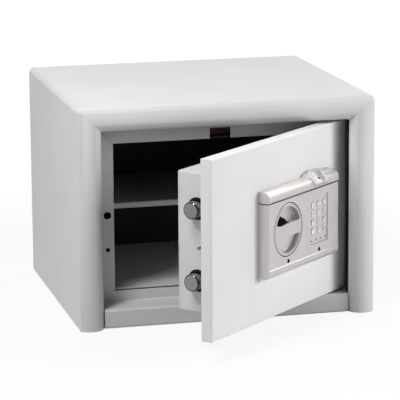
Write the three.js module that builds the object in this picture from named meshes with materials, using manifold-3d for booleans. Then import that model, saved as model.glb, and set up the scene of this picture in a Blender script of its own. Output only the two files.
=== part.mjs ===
import * as THREE from 'three';
import { mergeVertices } from 'three/addons/utils/BufferGeometryUtils.js';
import Module from 'manifold-3d';

// A free-standing electronic safe with its door ajar. Millimetres, +X right, +Z up.
// The front faces -Y. Shapes are written with the case's front edge at y = 0.

// Running gap between pieces that seat on each other, and the sheet metal's bends.
const FIT = 0.3;
const BEND = 1.2;
const BEND_STEP = Math.PI / 8;

// Outer case, rolled at its front edge into a round nose.
const CASE_WIDTH = 434;
const CASE_HEIGHT = 320;
const CASE_DEPTH = 386;
const CASE_SHEET = 2.5;
const CASE_EDGE_RADIUS = 8;
const NOSE_WIDTH = 36;
const NOSE_PROUD = 6.3;
const NOSE_ROLL = 20;
const NOSE_DEPTH = 20.5;
const NOSE_LIP_GAP = 6;

// Door frame: the step below the door and the flanges behind it.
const FRAME_SHEET = 2.5;
const SILL_SETBACK = 5;
const SILL_HEIGHT = 28;
const SILL_FOOT = 26;
const FLANGE_Y = 51.5;
const FLANGE_LEG = 16;
const JAMB_WIDTH = 61;
const HEADER_HEIGHT = 61.4;
const MOUTH_BOTTOM = 43;
const NOTCH_LEFT = -14;
const NOTCH_WIDTH = 31;
const NOTCH_HEIGHT = 15.5;
const FLANGE_HOLE_INSET = 9.5;
const FLANGE_HOLES = [{ rise: 0.5, radius: 5.5 }, { rise: -50, radius: 3.2 }];

// Inner tub and the fire fill poured round it.
const LINER_SHEET = 2;
const LINER_BACK_Y = 325;
const STRIKE_POCKET_DEPTH = 14;
const STRIKE_POCKET_MARGIN = 8;
const BACK_RIM = 14;
const BASE_RIB_WIDTH = 16;
const BASE_RIB_DEPTH = 1;
const BASE_RIB_X = 110;
const BASE_RIB_END = 30;
const ANCHOR_RADIUS = 6;
const ANCHOR_HEAD_RADIUS = 10;
const ANCHOR_HEAD = 2;
const ANCHOR_PLUG_DEPTH = 12;
const ANCHOR_FLOOR_Y = 245;
const ANCHOR_BACK_Z = 118;

// Shelf, its two rails and the floor mat.
const SHELF_TOP = 159;
const SHELF_FRONT_Y = 112;
const SHELF_BACK_GAP = 8;
const SHELF_LIP = 8.4;
const SHELF_SHEET = 1.5;
const RAIL_LEG = 13;
const RAIL_INSET = 12;
const MAT_THICKNESS = 3;
const MAT_MARGIN = 2;

// Door leaf: a folded pan 17 mm thick that turns about pins near its right end.
const DOOR_OPEN_DEG = 43;
const DOOR_SIDE_GAP = 1;
const DOOR_TOP_GAP = 3.5;
const DOOR_BOTTOM_GAP = 2;
const DOOR_Y = 24;
const DOOR_THICKNESS = 17;
const DOOR_SHEET = 2;
const DOOR_EDGE_RADIUS = 2.2;
const HINGE_INSET = 13.5;
const HINGE_BEHIND_FACE = 13;
const HINGE_PIN_RADIUS = 3.5;
const HINGE_BORE_RADIUS = 3.8;
const HINGE_BLOCK = { left: 9.5, right: 9.5, front: 9.7, back: 8, height: 30, corner: 4 };
const HINGE_HEAD = 2.6;
const BRACKET_SHEET = 4;
const BRACKET_LEG = 24;
const BRACKET_BEHIND_FACE = 1;
const BRACKET_SIDE = 16;
const GASKET_GAP = 0.5;
const CABLE_HOLE_RADIUS = 5;
const CORE_CLEARANCE = 2;
const GASKET_WIDTH = 8;
const GASKET_THICKNESS = 8;

// Lock case on the back of the leaf, with its two round bolts.
const LCASE_SIDE_GAP = 8;
const LCASE_BOTTOM_GAP = 16.5;
const LCASE_TOP_GAP = 5.1;
const LCASE_BACK_Y = 96;
const LCASE_SHEET = 2;
const LCASE_FLANGE = 5;
const LCASE_EDGE_RADIUS = 2;
const COVER_SHEET = 1.7;
const COVER_TAB = { x: 60, width: 34, reach: 18, corner: 8, hole: 2.2, holeX: 7 };
const SCREW_RADIUS = 3.6;
const SCREW_INSET = 12;
const BOLT_RADIUS = 12;
const BOLT_HOLE_RADIUS = 13.6;
const BOLT_Y = 67.3;
const BOLT_DROP = 2.5;
const BOLT_SPACING = 100;
const BOLT_OUT = 17;
const BOLT_LENGTH = 53;
const BOLT_CHAMFER = 1.5;
const CARRIAGE_SHEET = 4;
const CARRIAGE_WIDTH = 24;
const CARRIAGE_HEIGHT = 132;
const TIE_SHEET = 3;
const TIE_UP = 30;
const TIE_DOWN = 16.7;
const TIE_END = 8;
const TIE_CORNER = 6;
const TIE_Y = 63.5;
const GUIDE_SHEET = 4;
const GUIDE_INSET = 14;
const GUIDE_CLEARANCE = 0.4;
const GUIDE_FOOT = 12;
const CONTACT_PIN = { y: 62, drop: 3.4, radius: 2, out: 7, length: 26, collar: 3.6 };

// Front lock unit: a cast housing below and a rounded reader bar above.
const LOCK_LEFT = -62;
const LOCK_WIDTH = 190;
const LOCK_BOTTOM = 93;
const LOCK_SEAM = 200;
const LOCK_TOP = 216.6;
const LOCK_PROUD = 17.2;
const LOCK_WALL = 2.5;
const BAR_PROUD = 19;
const BAR_ROLL = 12;
const CHIN_HEIGHT = 13.5;
const CHIN_ROLL = 9;
const LOCK_END_RADIUS = 1.4;
const SEAM_STEP = { height: 0.8, depth: 1.5 };
const READER_X = 75;
const READER_HUMP = { left: 29, right: 47, rise: 5, slope: 11, front: 10, roll: 6 };
const READER_TILE = { width: 30, length: 19.5, thickness: 1.6, corner: 7, tiltDeg: 47, rise: 2.6, up: 1.2 };
const READER_BEZEL = { width: 4, height: 3, below: 0.4, foot: 203.2 };
const READER_GROOVES = { places: [-2.4, 3, 8], width: 1.1, depth: 0.5, eye: 1.4, eyeUp: -1.4 };

// Knob, its shaft and the cam that draws the bolts.
const KNOB_X = -10;
const KNOB_Z = 155;
const KNOB_RADIUS = 37.3;
const KNOB_THICKNESS = 11.5;
const KNOB_GAP = 0.5;
const KNOB_EDGE = 0.8;
const GRIP_HALF_HEIGHT = 9.3;
const POCKET_RADIUS = 33;
const POCKET_DEPTH = 9.6;
const POCKET_CORNER = 2.2;
const UPPER_POCKET = { side: 1, towardDeg: 0, shallow: 5.6, deep: 10, fillet: 3 };
const LOWER_POCKET = { side: -1, towardDeg: -38, shallow: -5.6, deep: 7, fillet: 0.8 };
const LOWER_GROOVE = { side: -1, towardDeg: -38, shallow: -9.3, deep: 11, fillet: 0.8 };
const GROOVE_CORE = { radius: 31, x: -1.2, z: 1 };
const KEY_WINDOW = { x: -26, z: 169, halfWidth: 11.8, halfHeight: 5.8 };
const KEY_COVER = { thickness: 1.6, margin: 1 };
const SHAFT_RADIUS = 6;
const SHAFT_FLANGE = 3.5;
const CAM_RADIUS = 20;
const CAM_THICKNESS = 4;
const CAM_TURN_DEG = 90;
const CRANK_PIN_RADIUS = 4;
const CRANK_CLEARANCE = 0.5;
const BARREL_RADIUS = 7;
const KEY_PLUG_RADIUS = 4.5;

// Keypad: a sunk panel with twelve sprung keys over four lamps.
const PAD_CENTRE_X = 75;
const PAD_CENTRE_Z = 153.9;
const PAD_WIDTH = 48.2;
const PAD_HEIGHT = 68.3;
const PAD_SUNK = 1.5;
const PAD_PANEL = 2;
const PAD_CORNER = 1.5;
const KEY_PITCH_X = 16.1;
const KEY_PITCH_Z = 12.5;
const KEY_TOP_ROW_Z = 176.4;
const KEY_WIDTH = 8.4;
const KEY_HEIGHT = 8.8;
const KEY_CORNER = 3.6;
const KEY_PROUD = 1.1;
const KEY_GAP = 0.4;
const KEY_TRAVEL = 0.8;
const KEY_BEVEL = 0.35;
const LAMP_Z = 125;
const LAMP_PITCH = 13.4;
const LAMP_RADIUS = 1.5;
const SCREW_HOLE_RADIUS = 2.2;
const SCREW_HOLE_DEPTH = 4;
const SCREW_HOLE_Z = 110.3;

// Parts inside the lock case.
const SOLENOID = { x: -80, gap: 3, width: 26, depth: 28, height: 30, nose: 5 };
const BOARD = { x: 28, z: 76, standoff: 7, width: 92, height: 74, sheet: 1.6, post: 3 };
const BOARD_CHIPS = [[16, 20, 22, 9], [16, 44, 14, 14], [50, 24, 18, 12], [52, 48, 26, 8]];
const BATTERY_BOX = { x: 30, drop: 13.5, cell: 7.4, cells: 4, length: 58, wall: 1.5 };

// Sizes that follow from the ones above.
const HALF_CASE = CASE_WIDTH / 2;
const INNER_HALF_CASE = HALF_CASE - CASE_SHEET;
const HALF_MOUTH = HALF_CASE - JAMB_WIDTH;
const MOUTH_TOP = CASE_HEIGHT - HEADER_HEIGHT;
const BRACKET_Z = CASE_HEIGHT - NOSE_WIDTH;
const HALF_BAY = HALF_CASE - NOSE_WIDTH;
const SHELF_BACK_Y = LINER_BACK_Y - SHELF_BACK_GAP;
const FLANGE_BACK_Y = FLANGE_Y + FRAME_SHEET;
const DOOR_HALF = HALF_BAY - DOOR_SIDE_GAP;
const DOOR_BOTTOM = SILL_HEIGHT + DOOR_BOTTOM_GAP;
const DOOR_TOP = CASE_HEIGHT - NOSE_WIDTH - DOOR_TOP_GAP;
const DOOR_BACK_Y = DOOR_Y + DOOR_THICKNESS;
const BACK_SHEET_Y = DOOR_BACK_Y - FIT;
const HINGE_X = DOOR_HALF - HINGE_INSET;
const HINGE_Y = DOOR_Y + HINGE_BEHIND_FACE;
const LOCK_Y = DOOR_Y - LOCK_PROUD;
const BAR_Y = DOOR_Y - BAR_PROUD;
const LOCK_RIGHT = LOCK_LEFT + LOCK_WIDTH;
const PAD_FLOOR_Y = LOCK_Y + PAD_SUNK;
const KNOB_BACK_Y = LOCK_Y + KNOB_THICKNESS;
const LCASE_HALF = HALF_MOUTH - LCASE_SIDE_GAP;
const GUIDE_X = -LCASE_HALF + GUIDE_INSET;
const LCASE_BOTTOM = MOUTH_BOTTOM + LCASE_BOTTOM_GAP;
const LCASE_TOP = MOUTH_TOP - LCASE_TOP_GAP;
const BOLT_MID_Z = (LCASE_BOTTOM + LCASE_TOP) / 2 - BOLT_DROP;
const CONTACT_PIN_Z = BOLT_MID_Z - CONTACT_PIN.drop;
const BOLT_ZS = [BOLT_MID_Z - BOLT_SPACING / 2, BOLT_MID_Z + BOLT_SPACING / 2];
const BOLT_TIP_X = -LCASE_HALF - BOLT_OUT;
const CARRIAGE_X = BOLT_TIP_X + BOLT_LENGTH + FIT;
const CRANK = BOLT_OUT / 2 / Math.sin(THREE.MathUtils.degToRad(CAM_TURN_DEG / 2));
const CRANK_PIN_X = KNOB_X - BOLT_OUT / 2;
const CRANK_PIN_Z = KNOB_Z + CRANK * Math.cos(THREE.MathUtils.degToRad(CAM_TURN_DEG / 2));
const CAM_Y = TIE_Y - FIT - 1 - CAM_THICKNESS;
const INSIDE_Y = BACK_SHEET_Y + FIT;
const LINER_OUTER_HALF = HALF_MOUTH + LINER_SHEET;
const FILL_FRONT_Y = FLANGE_BACK_Y + FLANGE_LEG + FIT;

const PAINT = { color: 0xe1e1df, roughness: 0.45, metalness: 0.0 };
const FRAME_PAINT = { color: 0x8a8c8b, roughness: 0.55, metalness: 0.0 };
const LINER_PAINT = { color: 0x77797a, roughness: 0.6, metalness: 0.0 };
const FILL = { color: 0x6b4a42, roughness: 0.95, metalness: 0.0 };
const FELT = { color: 0xa6a6a4, roughness: 0.95, metalness: 0.0 };
const STEEL = { color: 0x9a9c9e, roughness: 0.35, metalness: 1.0 };
const CHROME = { color: 0xd6d3d2, roughness: 0.12, metalness: 1.0 };
const SILVER = { color: 0xd2cbca, roughness: 0.38, metalness: 0.6 };
const KEY_WHITE = { color: 0xecebe9, roughness: 0.4, metalness: 0.0 };
const DARK_PLASTIC = { color: 0x1c1c1e, roughness: 0.4, metalness: 0.0 };
const RUBBER = { color: 0x2a2a2b, roughness: 0.85, metalness: 0.0 };
const BOARD_GREEN = { color: 0x2f5a3c, roughness: 0.5, metalness: 0.0 };
const CORE_BOARD = { color: 0xb9b2a4, roughness: 0.95, metalness: 0.0 };

const library = await Module();
library.setup();

// Booleans on plain triangle meshes.
function toSolid(geometry) {
  const bare = geometry.clone();
  bare.deleteAttribute('normal');
  bare.deleteAttribute('uv');
  const merged = mergeVertices(bare, 1e-4);
  const mesh = new library.Mesh({
    numProp: 3,
    vertProperties: new Float32Array(merged.getAttribute('position').array),
    triVerts: new Uint32Array(merged.getIndex().array),
  });
  mesh.merge();
  return new library.Manifold(mesh);
}

function toGeometry(solid) {
  const mesh = solid.getMesh();
  const geometry = new THREE.BufferGeometry();
  geometry.setAttribute('position', new THREE.BufferAttribute(mesh.vertProperties, 3));
  geometry.setIndex(new THREE.BufferAttribute(mesh.triVerts, 1));
  geometry.computeVertexNormals();
  return geometry;
}

function fold(first, others, step) {
  return toGeometry(others.reduce((solid, other) => step(solid, toSolid(other)), toSolid(first)));
}

const cut = (body, ...tools) => fold(body, tools, (a, b) => a.subtract(b));
const join = (body, ...others) => fold(body, others, (a, b) => a.add(b));
const common = (body, ...others) => fold(body, others, (a, b) => a.intersect(b));

// Outlines: corners are [a, b, radius], and a radius of 0 stays sharp.
function roundCorner(before, corner, after, radius) {
  const here = new THREE.Vector2(corner[0], corner[1]);
  const back = new THREE.Vector2(before[0], before[1]).sub(here);
  const ahead = new THREE.Vector2(after[0], after[1]).sub(here);
  const opening = Math.abs(back.angleTo(ahead));
  const turn = Math.PI - opening;
  if (radius <= 0 || turn < 0.01) return [here];
  const reach = radius / Math.tan(opening / 2);
  const middle = back.clone().normalize().add(ahead.clone().normalize()).normalize();
  const centre = here.clone().addScaledVector(middle, radius / Math.sin(opening / 2));
  const start = here.clone().addScaledVector(back.normalize(), reach).sub(centre);
  const side = Math.sign(-back.x * ahead.y + back.y * ahead.x);
  const steps = Math.max(2, Math.ceil(turn / BEND_STEP));
  return Array.from({ length: steps + 1 }, (_, i) => {
    return start.clone().rotateAround(new THREE.Vector2(), (side * turn * i) / steps).add(centre);
  });
}

function outlinePoints(corners) {
  const count = corners.length;
  return corners.flatMap((corner, i) => {
    return roundCorner(corners[(i + count - 1) % count], corner, corners[(i + 1) % count], corner[2] ?? 0);
  });
}

const outline = (corners) => new THREE.Shape(outlinePoints(corners));

function rectangle(a0, a1, b0, b1, radius = 0) {
  return outline([[a0, b0, radius], [a1, b0, radius], [a1, b1, radius], [a0, b1, radius]]);
}

// A bent sheet: the line is its right-hand face, and the sheet lies to its left.
function sheetOutline(line, thickness, bend = BEND) {
  const points = line.map(([a, b]) => new THREE.Vector2(a, b));
  const normals = points.slice(1).map((point, i) => {
    const along = point.clone().sub(points[i]).normalize();
    return new THREE.Vector2(-along.y, along.x);
  });
  const near = [];
  const far = [];
  points.forEach((point, i) => {
    const before = normals[Math.max(i - 1, 0)];
    const after = normals[Math.min(i, normals.length - 1)];
    const shift = before.clone().add(after).multiplyScalar(thickness / (1 + before.dot(after)));
    const turn = i > 0 && i < points.length - 1 ? before.x * after.y - before.y * after.x : 0;
    near.push([point.x, point.y, turn > 0 ? bend + thickness : turn < 0 ? bend : 0]);
    far.push([point.x + shift.x, point.y + shift.y, turn < 0 ? bend + thickness : turn > 0 ? bend : 0]);
  });
  return outline([...near, ...far.reverse()]);
}

// Extrusions along each axis: X takes (y, z) outlines, Y takes (x, z), Z takes (x, y).
function extrude(shape, length) {
  return new THREE.ExtrudeGeometry(shape, { depth: length, bevelEnabled: false, curveSegments: 12 });
}

function alongX(shape, x0, x1) {
  const basis = new THREE.Matrix4().makeBasis(
    new THREE.Vector3(0, 1, 0), new THREE.Vector3(0, 0, 1), new THREE.Vector3(1, 0, 0));
  return extrude(shape, x1 - x0).applyMatrix4(basis).translate(x0, 0, 0);
}

function alongY(shape, y0, y1) {
  const basis = new THREE.Matrix4().makeBasis(
    new THREE.Vector3(1, 0, 0), new THREE.Vector3(0, 0, 1), new THREE.Vector3(0, -1, 0));
  return extrude(shape, y1 - y0).applyMatrix4(basis).translate(0, y1, 0);
}

function alongZ(shape, z0, z1) {
  return extrude(shape, z1 - z0).translate(0, 0, z0);
}

function box(x0, x1, y0, y1, z0, z1) {
  return new THREE.BoxGeometry(x1 - x0, y1 - y0, z1 - z0)
    .translate((x0 + x1) / 2, (y0 + y1) / 2, (z0 + z1) / 2);
}

function rodX(radius, x0, x1, y, z, sides = 32) {
  return new THREE.CylinderGeometry(radius, radius, x1 - x0, sides)
    .rotateZ(Math.PI / 2).translate((x0 + x1) / 2, y, z);
}

function rodY(radius, y0, y1, x, z, sides = 32) {
  return new THREE.CylinderGeometry(radius, radius, y1 - y0, sides).translate(x, (y0 + y1) / 2, z);
}

function rodZ(radius, z0, z1, x, y, sides = 32) {
  return new THREE.CylinderGeometry(radius, radius, z1 - z0, sides)
    .rotateX(Math.PI / 2).translate(x, y, (z0 + z1) / 2);
}

// A turned piece: [radius, distance] pairs along +Y from a point.
function turnedY(profile, x, y, z, sides = 40) {
  const points = profile.map(([radius, distance]) => new THREE.Vector2(radius, distance));
  return new THREE.LatheGeometry(points, sides).translate(x, y, z);
}

function piece(name, look, geometry) {
  const mesh = new THREE.Mesh(geometry, new THREE.MeshStandardMaterial(look));
  mesh.name = name;
  return mesh;
}

// Case: one sheet wrapped over the top and both sides, swept round with mitred corners.
function arcPoints(centreA, centreB, radius, fromDeg, toDeg, steps) {
  return Array.from({ length: steps + 1 }, (_, i) => {
    const angle = THREE.MathUtils.degToRad(fromDeg + ((toDeg - fromDeg) * i) / steps);
    return [centreA + radius * Math.cos(angle), centreB + radius * Math.sin(angle)];
  });
}

function noseFace(inset) {
  const span = NOSE_WIDTH - NOSE_ROLL;
  const crownRadius = (span ** 2 + NOSE_PROUD ** 2) / (2 * NOSE_PROUD);
  const crownStart = 270 - THREE.MathUtils.radToDeg(Math.asin((span - inset) / (crownRadius - inset)));
  const crown = arcPoints(span, crownRadius - NOSE_PROUD, crownRadius - inset, crownStart, 270, 9);
  const roll = arcPoints(span, NOSE_ROLL - NOSE_PROUD, NOSE_ROLL - inset, 270, 360, 9);
  return [...crown, ...roll.slice(1)];
}

function casePoints() {
  const lipEnd = CASE_SHEET + NOSE_LIP_GAP;
  const outer = [[0, CASE_DEPTH], ...noseFace(0), [NOSE_WIDTH, NOSE_DEPTH], [lipEnd, NOSE_DEPTH]];
  const innerReveal = NOSE_WIDTH - CASE_SHEET;
  const innerLip = NOSE_DEPTH - CASE_SHEET;
  const inner = [[lipEnd, innerLip], [innerReveal, innerLip], ...noseFace(CASE_SHEET).reverse(),
    [CASE_SHEET, CASE_DEPTH]];
  return [...outer, ...inner];
}

// Stations run up the left leg, round both top corners and down the right leg.
function caseStations() {
  const steps = 5;
  const station = (side, phi) => ([inset, y]) => {
    const centre = HALF_CASE - CASE_EDGE_RADIUS;
    if (inset >= CASE_EDGE_RADIUS) return [side * (HALF_CASE - inset), y, CASE_HEIGHT - inset];
    const reach = CASE_EDGE_RADIUS - inset;
    const rise = CASE_HEIGHT - CASE_EDGE_RADIUS + reach * Math.sin(phi);
    return [side * (centre + reach * Math.cos(phi)), y, rise];
  };
  const foot = (side) => ([inset, y]) => [side * (HALF_CASE - inset), y, 0];
  const corner = Array.from({ length: steps + 1 }, (_, i) => (Math.PI / 2) * (i / steps));
  return [foot(-1), ...corner.map((phi) => station(-1, phi)),
    ...corner.reverse().map((phi) => station(1, phi)), foot(1)];
}

function outerCasing() {
  const profile = casePoints();
  const stations = caseStations();
  const positions = stations.flatMap((place) => profile.flatMap((point) => place(point)));
  const count = profile.length;
  const faces = [];
  for (let s = 0; s + 1 < stations.length; s += 1) {
    for (let i = 0; i < count; i += 1) {
      const j = (i + 1) % count;
      const [a, b] = [s * count + i, s * count + j];
      const [c, d] = [a + count, b + count];
      faces.push([a, b, d], [a, d, c]);
    }
  }
  const cap = THREE.ShapeUtils.triangulateShape(profile.map(([a, b]) => new THREE.Vector2(a, b)), []);
  const last = (stations.length - 1) * count;
  cap.forEach(([a, b, c]) => faces.push([a, c, b], [a + last, b + last, c + last]));
  return weld(positions, faces);
}

// Joins equal points and drops the triangles that this leaves without area.
function weld(positions, faces) {
  const raw = new THREE.BufferGeometry();
  raw.setAttribute('position', new THREE.Float32BufferAttribute(positions, 3));
  raw.setIndex(faces.flat());
  const merged = mergeVertices(raw, 1e-3);
  const index = merged.getIndex().array;
  const kept = [];
  for (let i = 0; i < index.length; i += 3) {
    const [a, b, c] = [index[i], index[i + 1], index[i + 2]];
    if (a !== b && b !== c && c !== a) kept.push(a, b, c);
  }
  merged.setIndex(kept);
  merged.computeVertexNormals();
  return merged;
}

function innerCaseOutline(gap) {
  const half = INNER_HALF_CASE - gap;
  const corner = CASE_EDGE_RADIUS - CASE_SHEET - gap;
  return [[-half, CASE_SHEET + gap, 0], [half, CASE_SHEET + gap, 0],
    [half, CASE_HEIGHT - CASE_SHEET - gap, corner], [-half, CASE_HEIGHT - CASE_SHEET - gap, corner]];
}

function backPanel() {
  const pan = alongY(outline(innerCaseOutline(FIT)), CASE_DEPTH - BACK_RIM, CASE_DEPTH);
  const inner = innerCaseOutline(FIT + CASE_SHEET);
  const hollow = alongY(outline(inner), CASE_DEPTH - BACK_RIM - 1, CASE_DEPTH - CASE_SHEET);
  const anchor = rodY(ANCHOR_RADIUS + FIT, CASE_DEPTH - BACK_RIM, CASE_DEPTH + 1, 0, ANCHOR_BACK_Z, 24);
  return cut(pan, hollow, anchor);
}

function basePlate() {
  const front = SILL_SETBACK + SILL_FOOT + FIT;
  const plate = box(-INNER_HALF_CASE + FIT, INNER_HALF_CASE - FIT, front, CASE_DEPTH - FIT, 0, CASE_SHEET);
  const ribs = [-BASE_RIB_X, BASE_RIB_X].map((x) => {
    const half = BASE_RIB_WIDTH / 2;
    const [start, end] = [front + BASE_RIB_END, CASE_DEPTH - BASE_RIB_END];
    const groove = rectangle(x - half, x + half, start, end, half - 0.5);
    return alongZ(groove, -1, BASE_RIB_DEPTH);
  });
  const anchor = rodZ(ANCHOR_RADIUS + FIT, -1, CASE_SHEET + 1, 0, ANCHOR_FLOOR_Y, 24);
  return cut(plate, ...ribs, anchor);
}

// Sill: foot, front face, ledge and the low flange, folded from one sheet.
function sill() {
  const line = [[SILL_SETBACK + SILL_FOOT, 0], [SILL_SETBACK, 0], [SILL_SETBACK, SILL_HEIGHT],
    [FLANGE_Y, SILL_HEIGHT], [FLANGE_Y, MOUTH_BOTTOM]];
  const flipped = line.map(([y, z]) => [y, z]).reverse();
  const half = INNER_HALF_CASE - FIT;
  const sheet = alongX(sheetOutline(flipped, FRAME_SHEET), -half, half);
  const pillars = [-1, 1].map((side) => {
    const inner = side * (HALF_BAY - FIT);
    const outer = side * (half + 1);
    return box(Math.min(inner, outer), Math.max(inner, outer), -1, NOSE_DEPTH + FIT, -1, MOUTH_BOTTOM);
  });
  const below = SILL_HEIGHT - 2 * FRAME_SHEET;
  const pin = rodZ(HINGE_PIN_RADIUS + FIT, below, SILL_HEIGHT + 1, HINGE_X, HINGE_Y, 24);
  return cut(sheet, ...pillars, pin);
}

// Door frame flanges, mitred at the top corners, each with a leg along the case.
function mitreCutter(side, below) {
  const reach = INNER_HALF_CASE - HALF_MOUTH + 20;
  const shift = ((below ? 1 : -1) * FIT) / Math.SQRT2;
  const at = (out, up) => new THREE.Vector2(side * (HALF_MOUTH + out), MOUTH_TOP + up + shift);
  const corners = [at(-20, -20), at(reach, reach), below ? at(reach, -20) : at(-20, reach)];
  return alongY(new THREE.Shape(corners), FLANGE_Y - 1, FLANGE_BACK_Y + FLANGE_LEG + 1);
}

function sideFlange(side) {
  const outer = side * (INNER_HALF_CASE - FIT);
  const line = [[side * HALF_MOUTH, FLANGE_Y], [outer, FLANGE_Y], [outer, FLANGE_BACK_Y + FLANGE_LEG]];
  const run = side > 0 ? line : line.reverse();
  const strip = alongZ(sheetOutline(run, FRAME_SHEET), MOUTH_BOTTOM + FIT, CASE_HEIGHT - CASE_EDGE_RADIUS);
  const holeX = -HALF_MOUTH - FLANGE_HOLE_INSET;
  const holes = FLANGE_HOLES.map(({ rise, radius }) => {
    return rodY(radius, FLANGE_Y - 1, FLANGE_BACK_Y + 1, holeX, BOLT_MID_Z + rise, 28);
  });
  return cut(strip, mitreCutter(side, false), ...(side < 0 ? holes : []));
}

function topFlange() {
  const top = CASE_HEIGHT - CASE_SHEET - FIT;
  const line = [[FLANGE_BACK_Y + FLANGE_LEG, top], [FLANGE_Y, top], [FLANGE_Y, MOUTH_TOP]];
  const half = INNER_HALF_CASE - CASE_EDGE_RADIUS;
  const strip = alongX(sheetOutline(line, FRAME_SHEET), -half, half);
  const notch = box(NOTCH_LEFT, NOTCH_LEFT + NOTCH_WIDTH, FLANGE_Y - 1, FLANGE_BACK_Y + 1,
    MOUTH_TOP - 1, MOUTH_TOP + NOTCH_HEIGHT);
  return cut(strip, mitreCutter(-1, true), mitreCutter(1, true), notch);
}

// Inner tub, open at the front, with holes for the bolts and the anchors.
function innerLiner() {
  const front = FLANGE_BACK_Y + FIT;
  const shell = box(-LINER_OUTER_HALF, LINER_OUTER_HALF, front, LINER_BACK_Y + LINER_SHEET,
    MOUTH_BOTTOM - LINER_SHEET, MOUTH_TOP + LINER_SHEET);
  const room = box(-HALF_MOUTH, HALF_MOUTH, front - 1, LINER_BACK_Y, MOUTH_BOTTOM, MOUTH_TOP);
  const boltHoles = BOLT_ZS.map((z) => {
    return rodX(BOLT_HOLE_RADIUS, -LINER_OUTER_HALF - 1, -HALF_MOUTH + 1, BOLT_Y, z, 28);
  });
  const floorHole = rodZ(ANCHOR_RADIUS + FIT, MOUTH_BOTTOM - LINER_SHEET - 1, MOUTH_BOTTOM + 1,
    0, ANCHOR_FLOOR_Y, 24);
  const backHole = rodY(ANCHOR_RADIUS + FIT, LINER_BACK_Y - 1, LINER_BACK_Y + LINER_SHEET + 1,
    0, ANCHOR_BACK_Z, 24);
  return cut(shell, room, ...boltHoles, floorHole, backHole);
}

// Poured fill between the tub and the case, recessed behind the bolt holes.
function fireFill() {
  const bottom = CASE_SHEET + FIT;
  const main = alongY(outline(innerCaseOutline(FIT)), FILL_FRONT_Y, CASE_DEPTH - BACK_RIM - FIT);
  const inPan = outline(innerCaseOutline(2 * FIT + CASE_SHEET));
  const mass = join(main, alongY(inPan, FILL_FRONT_Y + 1, CASE_DEPTH - CASE_SHEET - FIT));
  const half = LINER_OUTER_HALF + FIT;
  const room = box(-half, half, FILL_FRONT_Y - 1, LINER_BACK_Y + LINER_SHEET + FIT,
    MOUTH_BOTTOM - LINER_SHEET - FIT, MOUTH_TOP + LINER_SHEET + FIT);
  const reach = BOLT_HOLE_RADIUS + STRIKE_POCKET_MARGIN;
  const pocket = box(-half - STRIKE_POCKET_DEPTH, -half + 1, FILL_FRONT_Y - 1, BOLT_Y + reach,
    BOLT_ZS[0] - reach, BOLT_ZS[1] + reach);
  const plug = ANCHOR_PLUG_DEPTH + FIT;
  const floor = MOUTH_BOTTOM - LINER_SHEET;
  const low = rodZ(ANCHOR_RADIUS + FIT, bottom - 1, bottom + plug, 0, ANCHOR_FLOOR_Y, 24);
  const high = rodZ(ANCHOR_RADIUS + FIT, floor - plug, floor + 1, 0, ANCHOR_FLOOR_Y, 24);
  const back = rodY(ANCHOR_RADIUS + FIT, LINER_BACK_Y, CASE_DEPTH, 0, ANCHOR_BACK_Z, 24);
  return cut(mass, room, pocket, low, high, back);
}

// Push-in plug with a domed head; the shank runs along +Y from the head.
function anchorPlug() {
  const half = ANCHOR_RADIUS - FIT;
  return turnedY([[0, -ANCHOR_HEAD], [ANCHOR_HEAD_RADIUS - 2, -ANCHOR_HEAD], [ANCHOR_HEAD_RADIUS, -0.6],
    [ANCHOR_HEAD_RADIUS, 0], [half, 0], [half, ANCHOR_PLUG_DEPTH - 2], [half - 1, ANCHOR_PLUG_DEPTH],
    [0, ANCHOR_PLUG_DEPTH]], 0, 0, 0, 28);
}

function shelf() {
  const half = HALF_MOUTH - 0.8;
  const back = SHELF_BACK_Y;
  const line = [[SHELF_FRONT_Y, SHELF_TOP - SHELF_LIP], [SHELF_FRONT_Y, SHELF_TOP], [back, SHELF_TOP],
    [back, SHELF_TOP - SHELF_LIP]];
  return alongX(sheetOutline(line.reverse(), SHELF_SHEET, 0.6), -half, half);
}

function shelfRail(side) {
  const top = SHELF_TOP - SHELF_SHEET - FIT;
  const wall = side * (HALF_MOUTH - FIT);
  const line = [[wall, top - RAIL_LEG], [wall, top], [wall - side * RAIL_LEG, top]];
  const run = side > 0 ? line : line.reverse();
  const front = SHELF_FRONT_Y + RAIL_INSET;
  return alongY(sheetOutline(run, SHELF_SHEET), front, SHELF_BACK_Y - RAIL_INSET);
}

function floorMat() {
  const half = HALF_MOUTH - MAT_MARGIN;
  const mat = box(-half, half, FLANGE_BACK_Y + MAT_MARGIN, LINER_BACK_Y - MAT_MARGIN,
    MOUTH_BOTTOM + FIT, MOUTH_BOTTOM + FIT + MAT_THICKNESS);
  const hole = rodZ(ANCHOR_HEAD_RADIUS + 1, MOUTH_BOTTOM, MOUTH_BOTTOM + MAT_THICKNESS + 2,
    0, ANCHOR_FLOOR_Y, 28);
  return cut(mat, hole);
}

// Hinge bracket above the leaf, fixed to the top flange, and the two pins.
function hingeBracket() {
  const back = FLANGE_Y - FIT;
  const front = DOOR_Y + BRACKET_BEHIND_FACE;
  const line = [[front, BRACKET_Z], [back, BRACKET_Z], [back, BRACKET_Z + BRACKET_LEG]];
  const plate = alongX(sheetOutline(line, BRACKET_SHEET), HINGE_X - BRACKET_SIDE, INNER_HALF_CASE - FIT);
  const top = BRACKET_Z + BRACKET_SHEET;
  return cut(plate, rodZ(HINGE_PIN_RADIUS + FIT, BRACKET_Z - 1, top + 1, HINGE_X, HINGE_Y, 24));
}

function upperPin() {
  const seat = BRACKET_Z + BRACKET_SHEET + FIT;
  const shank = rodZ(HINGE_PIN_RADIUS, DOOR_TOP - HINGE_BLOCK.height + 6, seat + 1, HINGE_X, HINGE_Y, 24);
  return join(shank, rodZ(HINGE_PIN_RADIUS + 2, seat, seat + HINGE_HEAD, HINGE_X, HINGE_Y, 24));
}

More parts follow.
